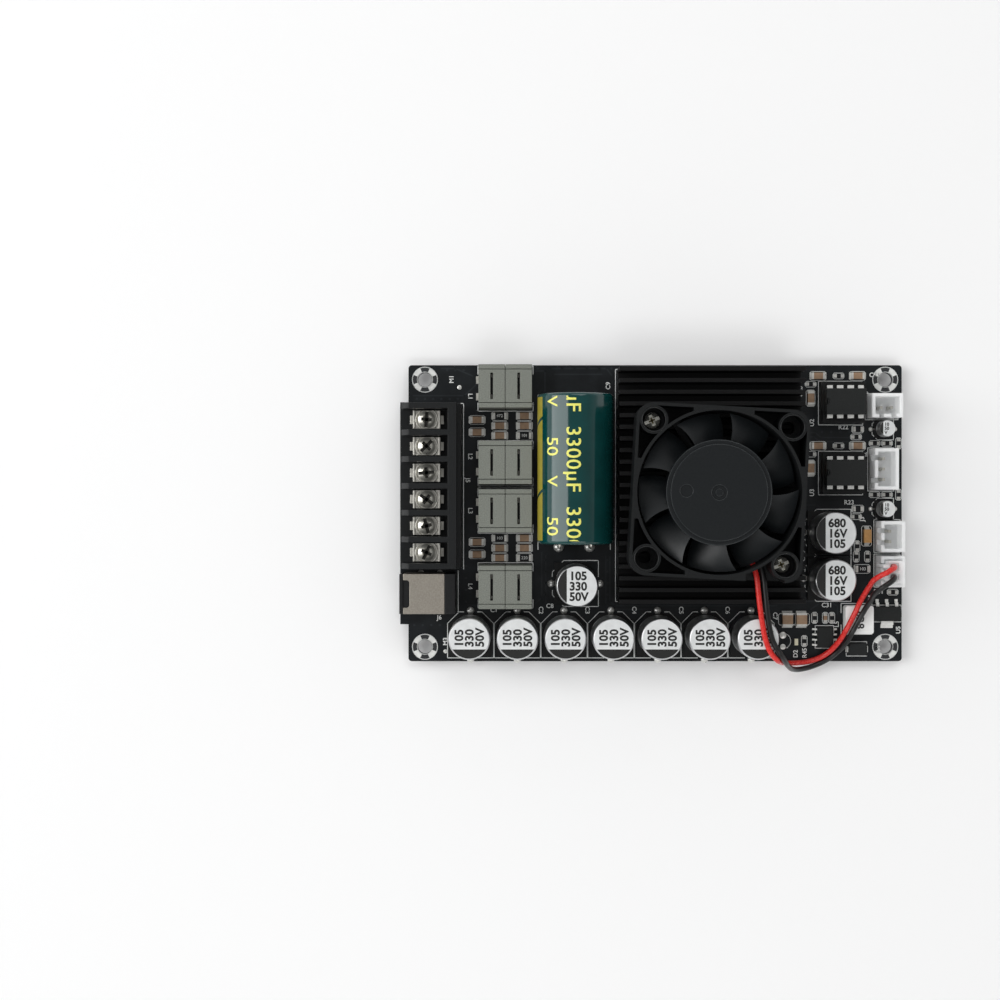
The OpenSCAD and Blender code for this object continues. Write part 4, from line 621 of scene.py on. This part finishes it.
for start, end, count in VIA_ROWS:
    for i in range(count):
        spot = Vector(start).lerp(Vector(end), i / (count - 1)) * MM
        bpy.ops.mesh.primitive_circle_add(vertices=12, radius=VIA_R, fill_type="NGON",
                                          location=(spot.x, spot.y, TRACK_Z))
close_piece(tracks, [mask_copper])

# Painted shade in the slots of the inductor cores: a near-black strip in each slot, standing in for its
# shadow
slot_shade_piece = open_piece("core_slot_painted_shades")
SLOT_W = 0.5 * MM
SLOT_DOWN = 0.25 * MM
SLOT_END = 3.4 * MM
for number in range(1, 5):
    low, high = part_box(f"inductor_core_{number}")
    middle = (low + high) / 2
    half_run = (high.y - low.y) / 2 - SLOT_END
    for side in (-1, 1):
        x = middle.x + side * (high.x - low.x) / 4
        strip((x, middle.y - half_run), (x, middle.y + half_run), SLOT_W, high.z - SLOT_DOWN)
close_piece(slot_shade_piece, [slot_painted_shade])


# Painted shade in each screw's slot and cross: a dark sheet just above the recess floor, which moves with its
# screw
DRIVE_W = 0.78 * MM
DRIVE_DEPTH = 0.8 * MM
CROSS_LEN = 2.6 * MM
SLOT_SHARE = 0.92
FAN_CROSS_LEN = 1.5 * MM
FAN_DRIVE_W = 0.42 * MM
DRIVE_TURN = 25
TURN_STEP = 40


def recess_shade_sheet(name, low, high, turn, body, slot, cross, width, look):
    middle = (low + high) / 2
    recess_shade_piece = open_piece(name)
    for run, angle in ((slot, turn), (cross, turn + 90)):
        reach = (run - width) / 2
        step = Vector((math.cos(math.radians(angle)), math.sin(math.radians(angle)))) * reach
        strip(middle.xy - step, middle.xy + step, width, high.z - DRIVE_DEPTH)
    close_piece(recess_shade_piece, [look], body)


for number in range(1, 7):
    low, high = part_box(f"terminal_screw_{number}")
    recess_shade_sheet(f"terminal_screw_recess_shade_{number}", low, high, number * TURN_STEP + DRIVE_TURN, f"screw_{number}",
                SLOT_SHARE * min(high.x - low.x, high.y - low.y), CROSS_LEN, DRIVE_W, drive_painted_shade)
for number, (low, high) in enumerate(solids_of("fan_screws"), 1):
    recess_shade_sheet(f"fan_screw_recess_shade_{number}", low, high, DRIVE_TURN + FAN_TURN, "base",
                FAN_CROSS_LEN, FAN_CROSS_LEN, FAN_DRIVE_W, fan_drive_painted_shade)


# Mounting pads on both faces of the board: a plated ring in eight fields, with printed rims above
HOLE_PLACES = [(x * 56 * MM, y * 32.5 * MM) for x in (-1, 1) for y in (-1, 1)]
PAD_OUT = 3.05 * MM
PAD_IN = 1.85 * MM
PAD_BELOW = -0.015 * MM
FIELD_FROM, FIELD_TO = 22.5, 67.5
RIM_LINE = 0.2 * MM
RIM_LIFT = 0.01 * MM
pad_piece = open_piece("pad_master")
bpy.ops.mesh.primitive_circle_add(vertices=64, radius=PAD_OUT, fill_type="NGON")
bpy.ops.mesh.inset(thickness=PAD_OUT - PAD_IN)
bpy.ops.mesh.delete(type="FACE")
bpy.ops.object.mode_set(mode="OBJECT")
pad_piece.data.materials.append(pad_silver)
pad_piece.data.materials.append(pad_dark)
for polygon in pad_piece.data.polygons:
    angle = math.degrees(math.atan2(polygon.center.y, polygon.center.x)) % 90
    polygon.material_index = 0 if FIELD_FROM <= angle < FIELD_TO else 1
pads = []
for x, y in HOLE_PLACES:
    pads.append(copy_part(pad_piece, Matrix.Translation((x, y, SILK_Z))))
    flipped = Matrix.Translation((x, y, PAD_BELOW)) @ Matrix.Rotation(math.pi, 4, "X")
    pads.append(copy_part(pad_piece, flipped))
bpy.data.objects.remove(pad_piece)
gather("mounting_pads", pads, [])

rims = open_piece("mounting_pad_rims")
for centre in HOLE_PLACES:
    for radius in (PAD_OUT, PAD_IN):
        stroke(arc_points(centre, radius, 0, 360, 32), RIM_LINE, SILK_Z + RIM_LIFT)
close_piece(rims, [silk_white])

# Solder: a mound at each can's foot, a fillet at each chip's end, a cone round each pin below
MOUND_OUT = 0.8 * MM
LARGE_BASE = 8 * MM
LARGE_MOUND = 0.9 * MM
SMALL_MOUND = 0.55 * MM
MOUND_RISE = 0.75
LEAD_MOUND = (1.3 * MM, 0.8 * MM)
LEAD_MOUND_IN = 0.4 * MM
EMPTY_PADS = [(31.1 * MM, -29.7 * MM, 0.85 * MM), (31.1 * MM, -32.5 * MM, 0.7 * MM)]
TARGETS = [(-47.6 * MM, 30.6 * MM, 0.55 * MM), (-51.0 * MM, -33.6 * MM, 0.5 * MM)]
FLAT_RISE = 0.2
FILLET_DROP = -0.85
FILLET_LEN = 0.45 * MM
FILLET_RISE = 0.7
CONE_FOOT = 1.0 * MM
CONE_TIP = 0.42 * MM
CONE_TALL = 1.0 * MM
TAIL_BELOW = -0.5 * MM
TAIL_APART = 2.2 * MM
PINNED = ("terminal_contacts", "jack_shield", "jack_pin", "jack_spring", "bulk_capacitor_leads",
          "connector_pins", "chip_leads")
mound = open_piece("mound_master")
bpy.ops.mesh.primitive_uv_sphere_add(segments=16, ring_count=10, radius=1)
bpy.ops.mesh.bisect(plane_co=(0, 0, 0), plane_no=(0, 0, 1), clear_inner=True)
bpy.ops.object.mode_set(mode="OBJECT")
bpy.ops.object.shade_smooth()
can_bases = solids_of("capacitor_bases")
mounds = []


def nearest(boxes, place):
    return min(boxes, key=lambda b: ((b[0] + b[1]) / 2 - place).length)


def add_mound(x, y, wide, tall):
    sizes = Matrix.Diagonal((wide, wide, tall, 1))
    mounds.append(copy_part(mound, Matrix.Translation((x, y, BOARD_TOP)) @ sizes))


for low, high in solids_of("capacitor_feet"):
    middle = (low + high) / 2
    base_low, base_high = nearest(can_bases, middle)
    base_middle = (base_low + base_high) / 2
    base_wide = base_high.x - base_low.x
    away = middle - base_middle
    away.z = 0
    away.normalize()
    tip = base_middle + away * (base_wide / 2 + MOUND_OUT)
    size = LARGE_MOUND if base_wide > LARGE_BASE else SMALL_MOUND
    add_mound(tip.x, tip.y, size, MOUND_RISE * size)
for low, high in solids_of("bulk_capacitor_leads"):
    add_mound((low.x + high.x) / 2, low.y + LEAD_MOUND_IN, *LEAD_MOUND)
for x, y, radius in EMPTY_PADS + TARGETS:
    add_mound(x, y, radius, FLAT_RISE * radius)
bpy.data.objects.remove(mound)

fillet = open_piece("fillet_master")
bpy.ops.mesh.primitive_cube_add(size=1, location=(0.5, 0, 0.5))
bpy.ops.object.mode_set(mode="OBJECT")
for vertex in fillet.data.vertices:
    vertex.select = vertex.co.x > 0.5 and vertex.co.z > 0.5
for edge in fillet.data.edges:
    edge.select = all(fillet.data.vertices[i].select for i in edge.vertices)
bpy.ops.object.mode_set(mode="EDIT")
bpy.ops.transform.translate(value=(0, 0, FILLET_DROP))
bpy.ops.object.mode_set(mode="OBJECT")
for low, high in end_caps:
    middle = (low + high) / 2
    body_low, body_high = nearest(chip_bodies, middle)
    away = middle - (body_low + body_high) / 2
    along_x = abs(away.x) > abs(away.y)
    turn = (0 if away.x > 0 else math.pi) if along_x else math.copysign(math.pi / 2, away.y)
    half = (high.x - low.x if along_x else high.y - low.y) / 2
    wide = high.y - low.y if along_x else high.x - low.x
    face = middle + Vector((math.cos(turn), math.sin(turn), 0)) * half
    sizes = Matrix.Diagonal((FILLET_LEN, wide, FILLET_RISE * (high.z - BOARD_TOP), 1))
    place = Matrix.Translation((face.x, face.y, BOARD_TOP)) @ Matrix.Rotation(turn, 4, "Z")
    mounds.append(copy_part(fillet, place @ sizes))
bpy.data.objects.remove(fillet)

cone = open_piece("cone_master")
bpy.ops.mesh.primitive_cone_add(vertices=20, radius1=CONE_FOOT, radius2=CONE_TIP, depth=CONE_TALL,
                                location=(0, 0, -CONE_TALL / 2), rotation=(math.pi, 0, 0))
bpy.ops.object.mode_set(mode="OBJECT")
bpy.ops.object.shade_smooth_by_angle(angle=math.radians(50))
for name in PINNED:
    low_points = [v.co.copy() for v in nodes[name].data.vertices if v.co.z < TAIL_BELOW]
    while low_points:
        near = [p for p in low_points if (p - low_points[0]).xy.length < TAIL_APART]
        low_points = [p for p in low_points if (p - low_points[0]).xy.length >= TAIL_APART]
        tail = sum(near, Vector()) / len(near)
        mounds.append(copy_part(cone, Matrix.Translation((tail.x, tail.y, 0))))
bpy.data.objects.remove(cone)
gather("solder_joints", mounds, [solder])


# Print on the can tops: a dark field on the negative side and three lines
CAN_LINES = {"rail_capacitors": ("105", "330", "50V"), "supply_capacitors": ("680", "16V", "105"),
             "input_capacitors": ("10", "50", "V")}
PRINT_LIFT = 0.01 * MM
FIELD_SHARE = 0.925
FIELD_EDGE = -0.49
LINE_TALL = 0.4
LINE_START = -0.37
LINE_PLACES = (0.46, -0.03, -0.52)
LINE_WEIGHT = 0.05


def can_print(low, high, turn, lines):
    radius = (high.x - low.x) / 2
    middle = (low + high) / 2
    spin = Matrix.Rotation(math.radians(turn), 4, "Z")
    place = Matrix.Translation((middle.x, middle.y, high.z + PRINT_LIFT)) @ spin
    field = open_piece("can_field")
    bpy.ops.mesh.primitive_circle_add(vertices=64, radius=FIELD_SHARE * radius, fill_type="NGON")
    bpy.ops.mesh.bisect(plane_co=(FIELD_EDGE * radius, 0, 0), plane_no=(1, 0, 0), clear_outer=True)
    bpy.ops.object.mode_set(mode="OBJECT")
    field.data.transform(place)
    parts = [field]
    for line, share in zip(lines, LINE_PLACES):
        words = lettering(line, LINE_TALL * radius, (LINE_START * radius, share * radius, 0),
                          weight=LINE_WEIGHT, across="LEFT")
        words.data.transform(place)
        parts.append(words)
    return parts


prints = []
for node, lines in CAN_LINES.items():
    for low, high in solids_of(node):
        prints += can_print(low, high, 90 if (low.y + high.y) / 2 < ROW_Y else 0, lines)
gather("can_prints", prints, [ink_black])

# A pale, nearly matt disc on each can's metal top, under its print: painted sheen in place of the metal's
# bright reflection
TOP_SHARE = 0.93
TOP_LIFT = 0.005 * MM
flats = []
for node in CAN_LINES:
    for low, high in solids_of(node):
        middle = (low + high) / 2
        flat = open_piece("can_flat")
        radius = TOP_SHARE * (high.x - low.x) / 2
        bpy.ops.mesh.primitive_circle_add(vertices=64, radius=radius, fill_type="NGON",
                                          location=(middle.x, middle.y, high.z + TOP_LIFT))
        bpy.ops.object.mode_set(mode="OBJECT")
        flats.append(flat)
gather("can_top_sheens", flats, [can_top_painted_sheen])

# Print on the bulk capacitor's sleeve, wrapped round it
sleeve_radius = (bulk_high.x - bulk_low.x) / 2
sleeve_axis = (bulk_low + bulk_high) / 2
SLEEVE_LIFT = 0.03 * MM
SLEEVE_ENDS = ((0.85 * MM, -1), (34.75 * MM, 1))
BEND_LINES = np.arange(-15, 12, 0.6) * MM


def wrap(piece):
    """Bends a flat mesh round the sleeve: x runs towards the seal, y is the arc from the top line."""
    reach = sleeve_radius + SLEEVE_LIFT
    for vertex in piece.data.vertices:
        along, arc, _ = vertex.co
        angle = arc / sleeve_radius
        vertex.co = (sleeve_axis.x + reach * math.sin(angle), bulk_high.y - along,
                     sleeve_axis.z + reach * math.cos(angle))


def sleeve_part(piece):
    """Cuts a flat print to the sleeve's straight length, in strips narrow enough to bend."""
    bpy.ops.object.select_all(action="DESELECT")
    piece.select_set(True)
    bpy.context.view_layer.objects.active = piece
    bpy.ops.object.mode_set(mode="EDIT")
    for y in BEND_LINES:
        bpy.ops.mesh.select_all(action="SELECT")
        bpy.ops.mesh.bisect(plane_co=(0, float(y), 0), plane_no=(0, 1, 0))
    for x, side in SLEEVE_ENDS:
        bpy.ops.mesh.select_all(action="SELECT")
        bpy.ops.mesh.bisect(plane_co=(x, 0, 0), plane_no=(side, 0, 0), clear_outer=True)
    bpy.ops.object.mode_set(mode="OBJECT")
    wrap(piece)
    return piece


# Words in millimetres: text, height, place along the sleeve, place round it, letter spacing
REPEAT = 18.7 * MM
FIRST_REPEAT = -0.61
SLEEVE_WEIGHT = 0.012
SLEEVE_WORDS = (("3300µF", 3.5, 0.6, -0.9, 1.06), ("50", 3.3, 3.0, -6.3, 1.0), ("V", 3.0, 12.2, -6.3, 1.0))
marks = []
for turn in range(3):
    start = (turn + FIRST_REPEAT) * REPEAT
    for text, tall, along, arc, spacing in SLEEVE_WORDS:
        flat_words = lettering(text, tall * MM, (start + along * MM, arc * MM, 0), weight=SLEEVE_WEIGHT,
                               across="LEFT", spacing=spacing)
        marks.append(sleeve_part(flat_words))
gather("sleeve_print", marks, [print_yellow])

# The polarity stripe: long bars whose ends are cut on the slant
STRIPE_Y = -12 * MM
STRIPE_W = 4.8 * MM
STRIPE_SLANT = 0.45
STRIPE_SPARE = 4
STRIPE_BARS = ((-4, 6.5), (7.3, 23.6), (24.4, 38))
stripes = []
for first, last in STRIPE_BARS:
    bar = open_piece("stripe_bar")
    middle = ((first + last) / 2 * MM, STRIPE_Y, 0)
    bpy.ops.mesh.primitive_plane_add(size=1, location=middle)
    length = (last - first + STRIPE_SPARE) * MM
    bpy.ops.transform.resize(value=(length, STRIPE_W, 1), center_override=middle)
    for x, side in ((first, -1), (last, 1)):
        bpy.ops.mesh.select_all(action="SELECT")
        bpy.ops.mesh.bisect(plane_co=(x * MM, STRIPE_Y, 0), plane_no=(side, side * STRIPE_SLANT, 0),
                            clear_outer=True)
    bpy.ops.object.mode_set(mode="OBJECT")
    stripes.append(sleeve_part(bar))
gather("sleeve_stripe", stripes, [stripe_yellow])

# Labels printed on the board: letters and number, place in millimetres, turn in degrees
LABELS = [
    ("M1", -49.5, 32.6, 90), ("M3", -51.0, -31.2, 90),
    ("L1", -45.0, 28.4, -90), ("L2", -45.0, 13.8, -90), ("L3", -45.0, 0.6, -90), ("L4", -45.0, -17.8, -90),
    ("J5", -45.6, 8.0, -90), ("J6", -52.5, -25.4, 0), ("C9", -11.4, 31.0, 90), ("C8", -25.6, -22.6, 0),
    ("C1", -39.2, -23.6, 0), ("C2", -27.8, -23.6, -90), ("C3", -16.5, -23.6, -90), ("C4", -5.1, -23.6, -90),
    ("C5", 6.3, -23.6, -90), ("C6", 17.6, -23.6, -90), ("C7", 29.2, -25.0, -90), ("U2", 38.2, 22.0, 90),
    ("U3", 38.2, 5.0, 90), ("J1", 51.0, 29.9, 90), ("J2", 51.0, 14.3, 90), ("J3", 50.4, -1.4, 90),
    ("J4", 52.4, -20.5, 90), ("C20", 35.4, 29.6, 90), ("C21", 53.4, 33.6, 0), ("C22", 35.4, 12.6, 90),
    ("R22", 45.8, 20.9, 0), ("R23", 47.2, 2.6, 0), ("C26", 36.0, -10.4, 90), ("R31", 54.4, -19.1, 0),
    ("C31", 41.8, -22.4, 0), ("L5", 44.2, -27.0, 90), ("D1", 54.2, -33.0, 90), ("U5", 59.2, -28.4, 90),
    ("D2", 34.2, -34.2, 90), ("R45", 36.4, -34.0, 90)]
LABEL_HEIGHT = 1.1 * MM
LABEL_WEIGHT = 0.02
words = [lettering(text, LABEL_HEIGHT, (x * MM, y * MM, SILK_Z), turn, weight=LABEL_WEIGHT)
         for text, x, y, turn in LABELS]
gather("board_labels", words, [silk_white])

# Value codes on the larger resistors and the choke
CODES = ("103", "472", "220", "101")
CODED_LENGTH = 1.2 * MM
CODE_HEIGHT = 0.75 * MM
CHOKE_CODE_HEIGHT = 1.9 * MM
CHOKE_CODE_WEIGHT = 0.04
coded = [(low, high) for low, high in solids_of("chip_resistors")
         if max(high.x - low.x, high.y - low.y) > CODED_LENGTH]
codes = []
for (low, high), code in zip(coded, itertools.cycle(CODES)):
    middle = (low + high) / 2
    turn = 0 if high.x - low.x > high.y - low.y else 90
    codes.append(lettering(code, CODE_HEIGHT, (middle.x, middle.y, high.z + PRINT_LIFT), turn))
gather("resistor_codes", codes, [silk_white])
choke_low, choke_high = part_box("converter_inductor")
choke_middle = (choke_low + choke_high) / 2
choke_place = (choke_middle.x, choke_middle.y, choke_high.z + PRINT_LIFT)
choke_words = lettering("6R8", CHOKE_CODE_HEIGHT, choke_place, -90, weight=CHOKE_CODE_WEIGHT)
gather("choke_code", [choke_words], [print_black])


# Studio: a pale floor, soft light from the left and a weak fill in front and behind
FLOOR_SIZE = 6
FLOOR_COLOUR = (0.94, 0.94, 0.94, 1)
FLOOR_ROUGH = 0.9
bpy.ops.mesh.primitive_plane_add(size=FLOOR_SIZE, location=(0, 0, cad_low.z))
floor = bpy.context.active_object
floor.name = "studio_floor"
pale = bpy.data.materials.new("pale_floor")
pale.use_nodes = True
floor_shader = pale.node_tree.nodes["Principled BSDF"]
floor_shader.inputs["Base Color"].default_value = FLOOR_COLOUR
floor_shader.inputs["Roughness"].default_value = FLOOR_ROUGH
floor.data.materials.append(pale)

# The sky is white at the horizon and dim overhead, where the camera hangs
sky = bpy.data.worlds.new("studio_sky")
scene.world = sky
sky.use_nodes = True
sky_tree = sky.node_tree
direction = sky_tree.nodes.new("ShaderNodeTexCoord")
height = sky_tree.nodes.new("ShaderNodeSeparateXYZ")
sky_tree.links.new(direction.outputs["Generated"], height.inputs["Vector"])
shade = sky_tree.nodes.new("ShaderNodeValToRGB")
SKY_LEVELS = ((0.0, 0.98), (0.3, 0.98), (0.45, 0.5), (0.75, 0.27), (1.0, 0.22))
for position, _ in SKY_LEVELS[1:-1]:
    shade.color_ramp.elements.new(position)
for element, (_, level) in zip(shade.color_ramp.elements, SKY_LEVELS):
    element.color = (level, level, level, 1)
sky_tree.links.new(height.outputs["Z"], shade.inputs["Fac"])
sky_tree.links.new(shade.outputs["Color"], sky_tree.nodes["Background"].inputs["Color"])


def softbox(name, place, width, tall, power):
    """A rectangular lamp that faces the origin."""
    lamp = bpy.data.lights.new(name, "AREA")
    lamp.shape = "RECTANGLE"
    lamp.size = width
    lamp.size_y = tall
    lamp.energy = power
    box = bpy.data.objects.new(name, lamp)
    box.location = place
    box.rotation_euler = (-Vector(place)).to_track_quat("-Z", "Y").to_euler()
    scene.collection.objects.link(box)


softbox("key_softbox", (-1.17, 0.15, 0.945), 0.9, 1.5, 14.25)
softbox("front_softbox", (0.15, -0.75, 1.2), 1.0, 0.5, 3.65)
softbox("back_softbox", (0.15, 0.75, 1.2), 1.0, 0.5, 3.65)
